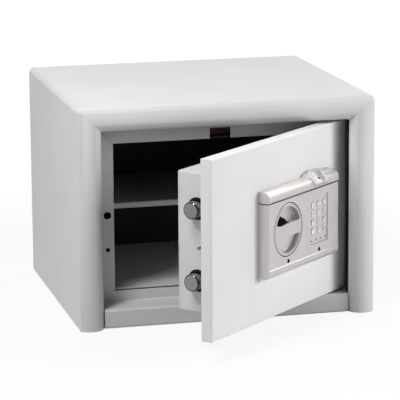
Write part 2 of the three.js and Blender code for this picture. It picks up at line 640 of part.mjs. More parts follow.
function lowerPin() {
  const seat = SILL_HEIGHT + FIT;
  const shank = rodZ(HINGE_PIN_RADIUS, SILL_HEIGHT - FRAME_SHEET - 2, DOOR_BOTTOM + HINGE_BLOCK.height - 6,
    HINGE_X, HINGE_Y, 24);
  const washer = rodZ(HINGE_PIN_RADIUS + 3, seat, DOOR_BOTTOM - FIT, HINGE_X, HINGE_Y, 24);
  return join(shank, washer);
}

// Door leaf: pan, filler board, closing sheet, hinge blocks and gasket.
function doorHull(shrink, backY) {
  const half = DOOR_HALF - shrink;
  const [low, high] = [DOOR_BOTTOM + shrink, DOOR_TOP - shrink];
  const radius = Math.max(DOOR_EDGE_RADIUS - shrink, 0.1);
  const front = DOOR_Y + shrink;
  const plan = outline([[-half, front, radius], [half, front, radius], [half, backY, 0], [-half, backY, 0]]);
  const side = outline([[front, low, radius], [backY, low, 0], [backY, high, 0], [front, high, radius]]);
  return common(alongZ(plan, low, high), alongX(side, -half, half));
}

function doorOpenings(clearance, y0, y1) {
  const shaft = rodY(SHAFT_RADIUS + clearance, y0, y1, KNOB_X, KNOB_Z, 28);
  const barrel = rodY(BARREL_RADIUS + clearance, y0, y1, KEY_WINDOW.x, KEY_WINDOW.z, 28);
  const cable = rodY(CABLE_HOLE_RADIUS + clearance, y0, y1, PAD_CENTRE_X, PAD_CENTRE_Z, 24);
  return [shaft, barrel, cable];
}

function doorPlate() {
  const hollow = doorHull(DOOR_SHEET, DOOR_BACK_Y + 1);
  const slots = [[DOOR_TOP - DOOR_SHEET - 1, DOOR_TOP + 1], [DOOR_BOTTOM - 1, DOOR_BOTTOM + DOOR_SHEET + 1]]
    .flatMap(([z0, z1]) => [
      rodZ(HINGE_BORE_RADIUS, z0, z1, HINGE_X, HINGE_Y, 24),
      box(HINGE_X - HINGE_BORE_RADIUS, HINGE_X + HINGE_BORE_RADIUS, HINGE_Y, DOOR_BACK_Y + 1, z0, z1),
    ]);
  const openings = doorOpenings(FIT, DOOR_Y - 1, DOOR_Y + DOOR_SHEET + 1);
  return cut(doorHull(0, DOOR_BACK_Y), hollow, ...slots, ...openings);
}

function leafInset() {
  const inset = DOOR_SHEET + FIT;
  return { left: -DOOR_HALF + inset, right: HINGE_X - HINGE_BLOCK.left - FIT,
    low: DOOR_BOTTOM + inset, high: DOOR_TOP - inset };
}

function doorCore() {
  const { left, right, low, high } = leafInset();
  const front = DOOR_Y + DOOR_SHEET + FIT;
  const back = BACK_SHEET_Y - LCASE_SHEET - FIT;
  return cut(box(left, right, front, back, low, high), ...doorOpenings(CORE_CLEARANCE, front - 1, back + 1));
}

function doorBackSheet() {
  const { left, right, low, high } = leafInset();
  const front = BACK_SHEET_Y - LCASE_SHEET;
  const openings = doorOpenings(CORE_CLEARANCE, front - 1, BACK_SHEET_Y + 1);
  return cut(box(left, right, front, BACK_SHEET_Y, low, high), ...openings);
}

function hingeBlock(z0) {
  const { left, right, front, back, height, corner } = HINGE_BLOCK;
  const plan = outline([[HINGE_X - left, HINGE_Y - front, 0], [HINGE_X + right, HINGE_Y - front, 0],
    [HINGE_X + right, HINGE_Y + back, corner], [HINGE_X - left, HINGE_Y + back, corner]]);
  const bore = rodZ(HINGE_BORE_RADIUS, z0 - 1, z0 + height + 1, HINGE_X, HINGE_Y, 24);
  return cut(alongZ(plan, z0, z0 + height), bore);
}

function doorGasket() {
  const half = LCASE_HALF + LCASE_FLANGE + GASKET_GAP;
  const high = LCASE_TOP + LCASE_FLANGE + GASKET_GAP;
  const low = MOUTH_BOTTOM + GASKET_GAP;
  const right = Math.min(half + GASKET_WIDTH, HINGE_X - HINGE_BLOCK.left - 2 * FIT);
  const y0 = INSIDE_Y;
  const y1 = y0 + GASKET_THICKNESS;
  const face = rectangle(-half - GASKET_WIDTH, right, low - GASKET_WIDTH, high + GASKET_WIDTH, 3);
  const ring = alongY(face, y0, y1);
  return cut(ring, box(-half, half, y0 - 1, y1 + 1, low, high));
}

// Lock case: a folded frame with a turned-out rim at the leaf and a screwed cover.
function lockCase() {
  const rim = LCASE_FLANGE;
  const y0 = INSIDE_Y;
  const body = alongY(rectangle(-LCASE_HALF, LCASE_HALF, LCASE_BOTTOM, LCASE_TOP, LCASE_EDGE_RADIUS),
    y0, LCASE_BACK_Y);
  const foot = alongY(rectangle(-LCASE_HALF - rim, LCASE_HALF + rim, LCASE_BOTTOM - rim, LCASE_TOP + rim, 2),
    y0, y0 + LCASE_SHEET);
  const room = box(-LCASE_HALF + LCASE_SHEET, LCASE_HALF - LCASE_SHEET, y0 - 1, LCASE_BACK_Y + 1,
    LCASE_BOTTOM + LCASE_SHEET, LCASE_TOP - LCASE_SHEET);
  const wall = [-LCASE_HALF - 1, -LCASE_HALF + LCASE_SHEET + 1];
  const boltHoles = BOLT_ZS.map((z) => rodX(BOLT_HOLE_RADIUS, ...wall, BOLT_Y, z, 32));
  const pinHole = rodX(CONTACT_PIN.radius + FIT, ...wall, CONTACT_PIN.y, CONTACT_PIN_Z, 20);
  return cut(join(body, foot), room, ...boltHoles, pinHole);
}

function lockCaseCover() {
  const y0 = LCASE_BACK_Y + FIT;
  const y1 = y0 + COVER_SHEET;
  const face = rectangle(-LCASE_HALF, LCASE_HALF, LCASE_BOTTOM, LCASE_TOP, LCASE_EDGE_RADIUS);
  const plate = alongY(face, y0, y1);
  const { x, width, reach, corner, hole, holeX } = COVER_TAB;
  const tab = alongZ(outline([[x, y0, 0], [x + width, y0, 0], [x + width, y1 + reach, corner],
    [x, y1 + reach, corner]]), LCASE_TOP - COVER_SHEET, LCASE_TOP);
  const drill = rodZ(hole, LCASE_TOP - 5, LCASE_TOP + 1, x + holeX, y1 + reach - holeX, 20);
  const screws = coverScrewPlaces().map(([sx, sz]) => rodY(2, y0 - 1, y1 + 1, sx, sz, 16));
  return cut(join(plate, tab), drill, ...screws);
}

function coverScrewPlaces() {
  const x = LCASE_HALF - SCREW_INSET;
  return [[-x, LCASE_TOP - SCREW_INSET], [x, LCASE_BOTTOM + SCREW_INSET]];
}

function coverScrew([x, z]) {
  const seat = LCASE_BACK_Y + FIT + COVER_SHEET + FIT;
  const shank = 1.7;
  const head = turnedY([[0, -8], [shank, -8], [shank, 0], [SCREW_RADIUS, 0], [SCREW_RADIUS - 0.4, 1.4],
    [SCREW_RADIUS - 1.8, 2.2], [0, 2.4]], x, seat, z, 20);
  const slot = box(x - SCREW_RADIUS, x + SCREW_RADIUS, seat + 1.4, seat + 3, z - 0.5, z + 0.5);
  return cut(head, slot);
}

// Bolts, the carriage that carries them, and the guide that they slide in.
function bolt(z) {
  const tip = BOLT_TIP_X;
  const rod = rodX(BOLT_RADIUS, tip + BOLT_CHAMFER, tip + BOLT_LENGTH, BOLT_Y, z, 40);
  const nose = new THREE.CylinderGeometry(BOLT_RADIUS - BOLT_CHAMFER, BOLT_RADIUS, BOLT_CHAMFER, 40)
    .rotateZ(Math.PI / 2).translate(tip + BOLT_CHAMFER / 2, BOLT_Y, z);
  return join(rod, nose);
}

function boltCarriage() {
  const half = CARRIAGE_HEIGHT / 2;
  const upright = box(CARRIAGE_X, CARRIAGE_X + CARRIAGE_SHEET, BOLT_Y - CARRIAGE_WIDTH / 2,
    BOLT_Y + CARRIAGE_WIDTH / 2, BOLT_MID_Z - half, BOLT_MID_Z + half);
  const [left, right] = [CARRIAGE_X + 1, CRANK_PIN_X + CRANK_PIN_RADIUS + TIE_END];
  const [low, high] = [KNOB_Z - TIE_DOWN, KNOB_Z + TIE_UP];
  const face = outline([[left, low, 0], [right, low, TIE_CORNER], [right, high, TIE_CORNER],
    [left, high, 0]]);
  const tie = alongY(face, TIE_Y, TIE_Y + TIE_SHEET);
  const slotHalf = CRANK_PIN_RADIUS + CRANK_CLEARANCE;
  const slot = alongY(rectangle(CRANK_PIN_X - slotHalf, CRANK_PIN_X + slotHalf,
    CRANK_PIN_Z - slotHalf, KNOB_Z + CRANK + slotHalf, slotHalf - 0.1), TIE_Y - 1, TIE_Y + TIE_SHEET + 1);
  return cut(join(upright, tie), slot);
}

function boltGuide() {
  const half = CARRIAGE_HEIGHT / 2;
  const y0 = INSIDE_Y;
  const line = [[GUIDE_X + GUIDE_FOOT, y0], [GUIDE_X, y0], [GUIDE_X, BOLT_Y + BOLT_RADIUS + 4]];
  const sheet = alongZ(sheetOutline(line.reverse(), GUIDE_SHEET, 1), BOLT_MID_Z - half, BOLT_MID_Z + half);
  const bores = BOLT_ZS.map((z) => {
    return rodX(BOLT_RADIUS + GUIDE_CLEARANCE, GUIDE_X - 1, GUIDE_X + GUIDE_SHEET + 1, BOLT_Y, z, 40);
  });
  const pinRadius = CONTACT_PIN.radius + FIT;
  const pin = rodX(pinRadius, GUIDE_X - 1, GUIDE_X + GUIDE_SHEET + 1, CONTACT_PIN.y, CONTACT_PIN_Z, 20);
  return cut(sheet, ...bores, pin);
}

function contactPin() {
  const { y, radius, out, length, collar } = CONTACT_PIN;
  const z = CONTACT_PIN_Z;
  const tip = -LCASE_HALF - out;
  const rod = rodX(radius, tip, tip + length, y, z, 20);
  return join(rod, rodX(collar, -LCASE_HALF + LCASE_SHEET + FIT, -LCASE_HALF + LCASE_SHEET + 2, y, z, 20));
}

// Lock housing: outer profile, rounded ends, hollow back, and its cut-outs.
function lockHull(shrink, back) {
  const front = LOCK_Y + shrink;
  const low = LOCK_BOTTOM + shrink;
  const side = outline([[back, LOCK_SEAM - shrink, 0], [front, LOCK_SEAM - shrink, 0],
    [front, LOCK_BOTTOM + CHIN_HEIGHT, 0], [BAR_Y + shrink + 0.4, LOCK_BOTTOM + CHIN_HEIGHT - 1.4, 0.8],
    [BAR_Y + shrink + 0.4, low, CHIN_ROLL], [back, low, 0]]);
  const plan = outline([[LOCK_LEFT + shrink, back, 0], [LOCK_LEFT + shrink, BAR_Y + shrink, LOCK_END_RADIUS],
    [LOCK_RIGHT - shrink, BAR_Y + shrink, LOCK_END_RADIUS], [LOCK_RIGHT - shrink, back, 0]]);
  const run = alongX(side, LOCK_LEFT + shrink, LOCK_RIGHT - shrink);
  return common(run, alongZ(plan, low, LOCK_SEAM - shrink));
}

function padOutline(grow) {
  const [w, h] = [PAD_WIDTH / 2 + grow, PAD_HEIGHT / 2 + grow];
  return rectangle(PAD_CENTRE_X - w, PAD_CENTRE_X + w, PAD_CENTRE_Z - h, PAD_CENTRE_Z + h, PAD_CORNER);
}

// A step round the housing's upper edge leaves a shadow line under the reader bar.
function seamCutter(back) {
  const { height, depth } = SEAM_STEP;
  const layer = box(LOCK_LEFT - 1, LOCK_RIGHT + 1, BAR_Y - 1, back + 1, LOCK_SEAM - height, LOCK_SEAM + 1);
  return cut(layer, box(LOCK_LEFT + depth, LOCK_RIGHT - depth, LOCK_Y + depth, back + 2,
    LOCK_SEAM - height - 1, LOCK_SEAM + 2));
}

function lockHousing() {
  const back = DOOR_Y - FIT;
  const hollow = lockHull(LOCK_WALL, back + 1);
  const knobHole = rodY(KNOB_RADIUS + KNOB_GAP, LOCK_Y - 5, back, KNOB_X, KNOB_Z, 64);
  const bevel = turnedY([[0, 0], [KNOB_RADIUS + KNOB_GAP + 1, 0], [KNOB_RADIUS + KNOB_GAP, 1], [0, 1]],
    KNOB_X, LOCK_Y, KNOB_Z, 64);
  const pad = alongY(padOutline(0), LOCK_Y - 5, PAD_FLOOR_Y + PAD_PANEL + 2);
  const screws = [KNOB_X, PAD_CENTRE_X].map((x) => {
    return rodY(SCREW_HOLE_RADIUS, LOCK_Y - 5, LOCK_Y + SCREW_HOLE_DEPTH, x, SCREW_HOLE_Z, 20);
  });
  return cut(lockHull(0, back), hollow, knobHole, bevel, pad, seamCutter(back), ...screws);
}

// Reader bar above the housing: rounded bar, rear hump and a sloped bezel that holds the tile.
function readerBar() {
  const back = DOOR_Y - FIT;
  const low = LOCK_SEAM + FIT;
  const side = outline([[back, low, 0], [back, LOCK_TOP, 1], [BAR_Y, LOCK_TOP, BAR_ROLL],
    [BAR_Y, low + 2, 0.8], [LOCK_Y, low, 0]]);
  const plan = outline([[LOCK_LEFT, back, 0], [LOCK_LEFT, BAR_Y, LOCK_END_RADIUS],
    [LOCK_RIGHT, BAR_Y, LOCK_END_RADIUS], [LOCK_RIGHT, back, 0]]);
  const bar = common(alongX(side, LOCK_LEFT, LOCK_RIGHT), alongZ(plan, low, LOCK_TOP));
  return cut(join(bar, readerHump(), readerBezel()), tileSeat());
}

function readerHump() {
  const [left, right] = [READER_X - READER_HUMP.left, READER_X + READER_HUMP.right];
  const { rise, slope, front, roll } = READER_HUMP;
  const [low, foot, top] = [LOCK_SEAM + 6, LOCK_TOP - 2, LOCK_TOP + rise];
  const face = outline([[left, low, 0], [right, low, 0], [right, foot, 4], [right - slope, top, 6],
    [left + slope, top, 6], [left, foot, 4]]);
  const back = DOOR_Y - 2;
  const side = outline([[back, low, 0], [back, top, 4], [front, top, roll], [front, low, 3]]);
  return common(alongY(face, front - 1, DOOR_Y), alongX(side, left - 1, right + 1));
}

// The tile is drawn flat about its middle, then tilted back and set against the bar's round front.
function tilePlace(geometry) {
  const { tiltDeg, thickness, rise, up } = READER_TILE;
  const tilt = THREE.MathUtils.degToRad(90 - tiltDeg);
  return geometry.translate(0, -BAR_ROLL - rise + thickness / 2, up).rotateX(-tilt)
    .translate(READER_X, BAR_Y + BAR_ROLL, LOCK_TOP - BAR_ROLL);
}

function tileShape(grow) {
  const { width, length, corner } = READER_TILE;
  const [w, l] = [width / 2 + grow, length / 2 + grow];
  return rectangle(-w, w, -l, l, corner + Math.max(grow, 0));
}

function tileSeat() {
  return tilePlace(alongY(tileShape(FIT), -8, READER_TILE.thickness / 2 + FIT));
}

function readerBezel() {
  const { width, height, below, foot } = READER_BEZEL;
  const face = -READER_TILE.thickness / 2 + below;
  const frame = new THREE.ExtrudeGeometry(tileShape(1), { depth: BAR_ROLL / 2, bevelThickness: height,
    bevelSize: width, bevelSegments: 2 });
  const tilted = tilePlace(frame.rotateX(-Math.PI / 2).translate(0, face + height, 0));
  const under = outline([[DOOR_Y - 2, foot, 0], [BAR_Y, foot, 0], [BAR_Y - 8, foot + 7, 0],
    [BAR_Y - 8, LOCK_TOP + 20, 0], [DOOR_Y - 2, LOCK_TOP + 20, 0]]);
  return common(tilted, alongX(under, LOCK_LEFT, LOCK_RIGHT));
}

function sensorTile() {
  const half = READER_TILE.thickness / 2;
  const end = READER_TILE.length / 2 + 1;
  const { places, width, depth, eye, eyeUp } = READER_GROOVES;
  const grooves = places.map((at) => {
    return box(at - width / 2, at + width / 2, -half - 1, -half + depth, -end, end);
  });
  const lens = rodY(eye, -half - 1, -half + 2 * depth, places[0], eyeUp, 16);
  return tilePlace(cut(alongY(tileShape(0), -half, half), ...grooves, lens));
}

// Knob: a disc with two scooped finger pockets that leave a grip bar across it.
function halfMoon(side) {
  const angle = THREE.MathUtils.radToDeg(Math.asin(GRIP_HALF_HEIGHT / POCKET_RADIUS));
  const arc = arcPoints(0, 0, POCKET_RADIUS, angle, 180 - angle, 22);
  const corners = arc.map(([a, b], i) => {
    return [a, side * b, i === 0 || i === arc.length - 1 ? POCKET_CORNER : 0];
  });
  return outline(side > 0 ? corners : corners.reverse());
}

// A pocket's floor slants: shallow at one end of a line across the knob, deep at the other.
function pocketCutter({ side, towardDeg, shallow, deep, fillet }) {
  const prism = alongY(halfMoon(side), LOCK_Y - 1, KNOB_BACK_Y).translate(KNOB_X, 0, KNOB_Z);
  const turn = arcPoints(POCKET_RADIUS - fillet, POCKET_DEPTH - fillet, fillet, 0, 90, fillet > 1 ? 3 : 1);
  const bowl = turnedY([[0, -1], [POCKET_RADIUS, -1], ...turn, [0, POCKET_DEPTH]],
    KNOB_X, LOCK_Y, KNOB_Z, 56);
  const half = POCKET_RADIUS + 2;
  const front = Math.min(shallow, 0) - 2;
  const floor = outline([[-half, front, 0], [half, front, 0], [half, deep, 0], [-half, shallow, 0]]);
  const room = alongZ(floor, -half, half).rotateY(-THREE.MathUtils.degToRad(towardDeg))
    .translate(KNOB_X, LOCK_Y, KNOB_Z);
  return common(prism, bowl, room);
}

// Below the grip a deeper groove runs round the pocket's wall, widest at its lower right.
function grooveCutter() {
  const { radius, x, z } = GROOVE_CORE;
  const core = rodY(radius, LOCK_Y - 2, KNOB_BACK_Y, KNOB_X + x, KNOB_Z + z, 48);
  return cut(pocketCutter(LOWER_GROOVE), core);
}

function windowOutline(grow) {
  const { x, z, halfWidth, halfHeight } = KEY_WINDOW;
  const [w, h] = [halfWidth + grow, halfHeight + grow];
  return rectangle(x - w, x + w, z - h, z + h, h - 0.1);
}

function knob() {
  const disc = turnedY([[0, 0], [KNOB_RADIUS - KNOB_EDGE, 0], [KNOB_RADIUS, KNOB_EDGE],
    [KNOB_RADIUS, KNOB_THICKNESS], [0, KNOB_THICKNESS]], KNOB_X, LOCK_Y, KNOB_Z, 64);
  const ring = turnedY([[POCKET_RADIUS + 1.6, -1], [POCKET_RADIUS + 2.4, -1], [POCKET_RADIUS + 2.4, 0.5],
    [POCKET_RADIUS + 1.6, 0.5], [POCKET_RADIUS + 1.6, -1]], KNOB_X, LOCK_Y, KNOB_Z, 64);
  const window = alongY(windowOutline(0), LOCK_Y - 1, KNOB_BACK_Y + 1);
  return cut(disc, ring, pocketCutter(UPPER_POCKET), pocketCutter(LOWER_POCKET), grooveCutter(), window);
}

function knobShaft() {
  const start = KNOB_BACK_Y + FIT;
  const flange = rodY(SHAFT_RADIUS + SHAFT_FLANGE, start, start + 2.5, KNOB_X, KNOB_Z, 28);
  return join(rodY(SHAFT_RADIUS, start + 1, CAM_Y - FIT, KNOB_X, KNOB_Z, 28), flange);
}

function cam() {
  const disc = rodY(CAM_RADIUS, CAM_Y, CAM_Y + CAM_THICKNESS, KNOB_X, KNOB_Z, 40);
  const pin = rodY(CRANK_PIN_RADIUS, CAM_Y + 1, TIE_Y + TIE_SHEET + 2, CRANK_PIN_X, CRANK_PIN_Z, 24);
  return join(disc, pin);
}

// Emergency lock behind the window in the knob.
function lockBarrel() {
  const y0 = KNOB_BACK_Y + FIT;
  const { x, z } = KEY_WINDOW;
  const cover = alongY(windowOutline(KEY_COVER.margin), y0, y0 + KEY_COVER.thickness);
  const outer = rodY(BARREL_RADIUS, y0, DOOR_BACK_Y + 6, x, z, 28);
  return cut(join(outer, cover), rodY(KEY_PLUG_RADIUS + FIT, y0 - 1, DOOR_BACK_Y + 4, x, z, 24));
}

function keyPlug() {
  const y0 = KNOB_BACK_Y + FIT;
  const plug = rodY(KEY_PLUG_RADIUS, y0, DOOR_BACK_Y + 4 - FIT, KEY_WINDOW.x, KEY_WINDOW.z, 24);
  const { x, z } = KEY_WINDOW;
  const slot = box(x - 0.7, x + 0.7, y0 - 1, y0 + 12, z - 3.2, z + 3.2);
  return cut(plug, slot);
}

// Keypad: panel, lamps and keys in three columns and four rows.
function keyPlaces() {
  const rows = [0, 1, 2, 3];
  return rows.flatMap((row) => [-1, 0, 1].map((column) => {
    return { x: PAD_CENTRE_X + column * KEY_PITCH_X, z: KEY_TOP_ROW_Z - row * KEY_PITCH_Z };
  }));
}

function keyOutline({ x, z }, grow) {
  const [w, h] = [KEY_WIDTH / 2 + grow, KEY_HEIGHT / 2 + grow];
  return rectangle(x - w, x + w, z - h, z + h, KEY_CORNER);
}

function keypadPanel() {
  const panel = alongY(padOutline(-FIT), PAD_FLOOR_Y, PAD_FLOOR_Y + PAD_PANEL);
  const holes = keyPlaces().map((place) => {
    return alongY(keyOutline(place, KEY_GAP), PAD_FLOOR_Y - 1, PAD_FLOOR_Y + PAD_PANEL + 1);
  });
  const lamps = [-1.5, -0.5, 0.5, 1.5].map((step) => {
    const x = PAD_CENTRE_X + step * LAMP_PITCH;
    return rodY(LAMP_RADIUS, PAD_FLOOR_Y - 1, PAD_FLOOR_Y + 0.6, x, LAMP_Z, 14);
  });
  return cut(panel, ...holes, ...lamps);
}

function keyCap(place) {
  const front = PAD_FLOOR_Y - KEY_PROUD;
  const depth = PAD_FLOOR_Y + PAD_PANEL + 1 - front - 2 * KEY_BEVEL;
  const cap = new THREE.ExtrudeGeometry(keyOutline({ x: 0, z: 0 }, -KEY_BEVEL), { depth,
    bevelThickness: KEY_BEVEL, bevelSize: KEY_BEVEL, bevelSegments: 1 });
  return toGeometry(toSolid(cap.rotateX(-Math.PI / 2).translate(place.x, front + KEY_BEVEL, place.z)));
}

// Key board behind the panel, on which the keys press.
function keyBoard() {
  const y0 = PAD_FLOOR_Y + PAD_PANEL + 1 + KEY_TRAVEL + FIT;
  const half = PAD_WIDTH / 2 - 2;
  const tall = PAD_HEIGHT / 2 - 2;
  const plate = box(PAD_CENTRE_X - half, PAD_CENTRE_X + half, y0, y0 + 1.6,
    PAD_CENTRE_Z - tall, PAD_CENTRE_Z + tall);
  const posts = [-1, 1].flatMap((a) => [-1, 1].map((b) => {
    return rodY(2.5, y0 + 1, DOOR_Y - FIT, PAD_CENTRE_X + a * (half - 4), PAD_CENTRE_Z + b * (tall - 3), 16);
  }));
  return join(plate, ...posts);
}

// Solenoid, circuit board and battery box inside the lock case.
function solenoid() {
  const { x, gap, width, depth, height, nose } = SOLENOID;
  const [y, z] = [INSIDE_Y, KNOB_Z + TIE_UP + gap];
  const frame = box(x, x + width, y, y + depth, z, z + height);
  const coil = rodZ(depth / 2 - 2, z + 3, z + height - 3, x + width / 2, y + depth / 2, 24);
  const window = box(x - 1, x + width + 1, y + 2, y + depth + 1, z + 2.5, z + height - 2.5);
  const stem = rodZ(nose, z - 3, z + height / 2, x + width / 2, y + depth / 2, 20);
  return join(cut(frame, window), coil, stem);
}

function circuitBoard() {
  const { x, z, width, height, standoff, sheet, post } = BOARD;
  const y = INSIDE_Y + standoff;
  const plate = box(x, x + width, y, y + sheet, z, z + height);
  const posts = [[8, 8], [width - 8, 8], [8, height - 8], [width - 8, height - 8]].map(([a, b]) => {
    return rodY(post, INSIDE_Y, y + 0.5, x + a, z + b, 16);
  });
  const chips = BOARD_CHIPS.map(([a, b, w, h]) => {
    return box(x + a, x + a + w, y + sheet - 0.5, y + sheet + 2.4, z + b, z + b + h);
  });
  return join(plate, ...posts, ...chips);
}

function batteryBox() {
  const { x, drop, cell, cells, length, wall } = BATTERY_BOX;
  const [y, z] = [INSIDE_Y, LCASE_TOP - drop - length];
  const width = cells * 2 * cell + 2 * wall;
  const shell = box(x, x + width, y, y + cell + 3, z, z + length);
  const room = box(x + wall, x + width - wall, y + wall, y + 2 * cell + 4, z + wall, z + length - wall);
  const batteries = Array.from({ length: cells }, (_, i) => {
    return rodZ(cell - 0.05, z + 1, z + length - 1, x + wall + cell * (2 * i + 1), y + cell + 1.2, 20);
  });
  return join(cut(shell, room), ...batteries);
}

// Assembly: fixed body, then the door turned about its pins.
const safe = new THREE.Group();
safe.position.y = -CASE_DEPTH / 2;

const floorPlug = anchorPlug().rotateX(-Math.PI / 2).translate(0, ANCHOR_FLOOR_Y, MOUTH_BOTTOM + FIT);
const backPlug = anchorPlug().translate(0, LINER_BACK_Y - FIT, ANCHOR_BACK_Z);

safe.add(
  piece('outer_casing', PAINT, outerCasing()),
  piece('back_panel', PAINT, backPanel()),
  piece('base_plate', PAINT, basePlate()),
  piece('sill', FRAME_PAINT, sill()),
  piece('left_flange', FRAME_PAINT, sideFlange(-1)),
  piece('right_flange', FRAME_PAINT, sideFlange(1)),
  piece('top_flange', FRAME_PAINT, topFlange()),
  piece('inner_liner', LINER_PAINT, innerLiner()),
  piece('fire_fill', FILL, fireFill()),
  piece('floor_anchor_plug', DARK_PLASTIC, floorPlug),
  piece('back_anchor_plug', DARK_PLASTIC, backPlug),
  piece('shelf', LINER_PAINT, shelf()),
  piece('left_shelf_rail', LINER_PAINT, shelfRail(-1)),
  piece('right_shelf_rail', LINER_PAINT, shelfRail(1)),
  piece('floor_mat', FELT, floorMat()),
  piece('hinge_bracket', STEEL, hingeBracket()),
  piece('upper_hinge_pin', STEEL, upperPin()),
  piece('lower_hinge_pin', STEEL, lowerPin()),
);

const hinge = new THREE.Group();
hinge.position.set(HINGE_X, HINGE_Y, 0);
hinge.rotation.z = THREE.MathUtils.degToRad(DOOR_OPEN_DEG);
safe.add(hinge);

const door = new THREE.Group();
door.position.set(-HINGE_X, -HINGE_Y, 0);
hinge.add(door);

door.add(
  piece('door_plate', PAINT, doorPlate()),
  piece('door_core', CORE_BOARD, doorCore()),
  piece('door_back_sheet', PAINT, doorBackSheet()),
  piece('upper_hinge_block', STEEL, hingeBlock(DOOR_TOP - DOOR_SHEET - FIT - HINGE_BLOCK.height)),
  piece('lower_hinge_block', STEEL, hingeBlock(DOOR_BOTTOM + DOOR_SHEET + FIT)),
  piece('door_gasket', RUBBER, doorGasket()),
  piece('lock_case', PAINT, lockCase()),
  piece('lock_case_cover', PAINT, lockCaseCover()),
  piece('bolt_guide', STEEL, boltGuide()),
  piece('door_contact_pin', CHROME, contactPin()),
  piece('bolt_carriage', STEEL, boltCarriage()),
  piece('lower_bolt', CHROME, bolt(BOLT_ZS[0])),
  piece('upper_bolt', CHROME, bolt(BOLT_ZS[1])),
  piece('lock_housing', SILVER, lockHousing()),
  piece('reader_bar', SILVER, readerBar()),
  piece('sensor_tile', SILVER, sensorTile()),
  piece('knob', SILVER, knob()),
  piece('knob_shaft', STEEL, knobShaft()),
  piece('cam', STEEL, cam()),
  piece('lock_barrel', DARK_PLASTIC, lockBarrel()),
  piece('key_plug', DARK_PLASTIC, keyPlug()),
  piece('keypad_panel', SILVER, keypadPanel()),
  piece('key_board', BOARD_GREEN, keyBoard()),
  piece('solenoid', STEEL, solenoid()),
  piece('circuit_board', BOARD_GREEN, circuitBoard()),
  piece('battery_box', DARK_PLASTIC, batteryBox()),
);
coverScrewPlaces().forEach((place, i) => door.add(piece(`cover_screw_${i + 1}`, STEEL, coverScrew(place))));
keyPlaces().forEach((place, i) => door.add(piece(`key_${i + 1}`, KEY_WHITE, keyCap(place))));

export default safe;
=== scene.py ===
import math

import bmesh
import bpy
from mathutils import Matrix, Vector


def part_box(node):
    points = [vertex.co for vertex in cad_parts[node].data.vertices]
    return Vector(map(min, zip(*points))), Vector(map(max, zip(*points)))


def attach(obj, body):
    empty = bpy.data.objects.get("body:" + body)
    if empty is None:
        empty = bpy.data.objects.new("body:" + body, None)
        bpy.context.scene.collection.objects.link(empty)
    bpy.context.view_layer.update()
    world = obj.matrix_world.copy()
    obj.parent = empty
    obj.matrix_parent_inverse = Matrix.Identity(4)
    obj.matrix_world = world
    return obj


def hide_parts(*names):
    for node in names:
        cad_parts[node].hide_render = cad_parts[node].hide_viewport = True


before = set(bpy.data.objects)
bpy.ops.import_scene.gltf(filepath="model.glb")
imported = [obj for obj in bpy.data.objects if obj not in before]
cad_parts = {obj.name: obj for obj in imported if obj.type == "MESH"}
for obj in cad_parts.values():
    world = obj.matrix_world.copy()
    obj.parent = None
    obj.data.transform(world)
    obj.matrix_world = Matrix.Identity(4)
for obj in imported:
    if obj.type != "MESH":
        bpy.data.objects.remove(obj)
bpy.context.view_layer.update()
scene = bpy.context.scene
scene.view_settings.view_transform = "Standard"

# Sizes are in millimetres and become metres where they are used, unless a comment says metres.
MM = 0.001
HALF_DEPTH = 193.0
DOOR_OPEN = math.radians(43)
HINGE = Vector((166.5, -156.0, 0.0)) * MM
QUARTER_TURN = math.pi / 2

# Places on the door, given as if it were shut: X, then Y back from the case's front edge, then Z.
KNOB_X, KNOB_Z = -10.0, 155.0
KEYPAD_X = 75.0
KEY_TOP_Y, TOP_KEY_Z = 7.2, 176.4
KEY_STEP_X, KEY_STEP_Z = 16.1, 12.5
LAMP_Y, LAMP_Z, LAMP_STEP_X = 8.4, 125.0, 13.4
COVER_PLACE = (-26.0, 8.2, 169.0)
PLUG_Y, PLUG_Z = 6.5, 110.3
SEAM_Z = 200.0
HOUSING_FACE_Y = 6.8
BOLT_Y = 67.3


def door_frame(x, y, z):
    """The frame at a place on the door, in the pose of the photograph."""
    shut = Vector((x, y - HALF_DEPTH, z)) * MM
    place = Matrix.Rotation(DOOR_OPEN, 3, "Z") @ (shut - HINGE) + HINGE
    return Matrix.Translation(place) @ Matrix.Rotation(DOOR_OPEN, 4, "Z")


# The camera was fitted to the edges of the case in the picture, 400 pixels wide.
CAMERA_PLACE = (-0.8168, -3.3247, 0.882)  # metres
CAMERA_ANGLES = (13.898, -12.26, -0.414)  # yaw, pitch and roll, degrees
SENSOR_WIDTH = 36.0
PICTURE_WIDTH, FOCAL_LENGTH = 400.0, 2330.4  # pixels
FARTHEST_SEEN = 50.0  # metres


def make_camera():
    yaw, pitch, roll = (math.radians(angle) for angle in CAMERA_ANGLES)
    flat = math.cos(pitch)
    forward = Vector((math.sin(yaw) * flat, math.cos(yaw) * flat, math.sin(pitch)))
    right = Vector((math.cos(yaw), -math.sin(yaw), 0.0))
    up = right.cross(forward)
    right, up = (
        math.cos(roll) * right + math.sin(roll) * up,
        -math.sin(roll) * right + math.cos(roll) * up,
    )
    data = bpy.data.cameras.new("camera")
    data.sensor_width = SENSOR_WIDTH
    data.lens = SENSOR_WIDTH * FOCAL_LENGTH / PICTURE_WIDTH
    data.clip_end = FARTHEST_SEEN
    camera = bpy.data.objects.new("camera", data)
    rotation = Matrix((right, up, -forward)).transposed().to_4x4()
    camera.matrix_world = Matrix.Translation(CAMERA_PLACE) @ rotation
    scene.collection.objects.link(camera)
    scene.camera = camera


EVEN = (1, 1, 1)


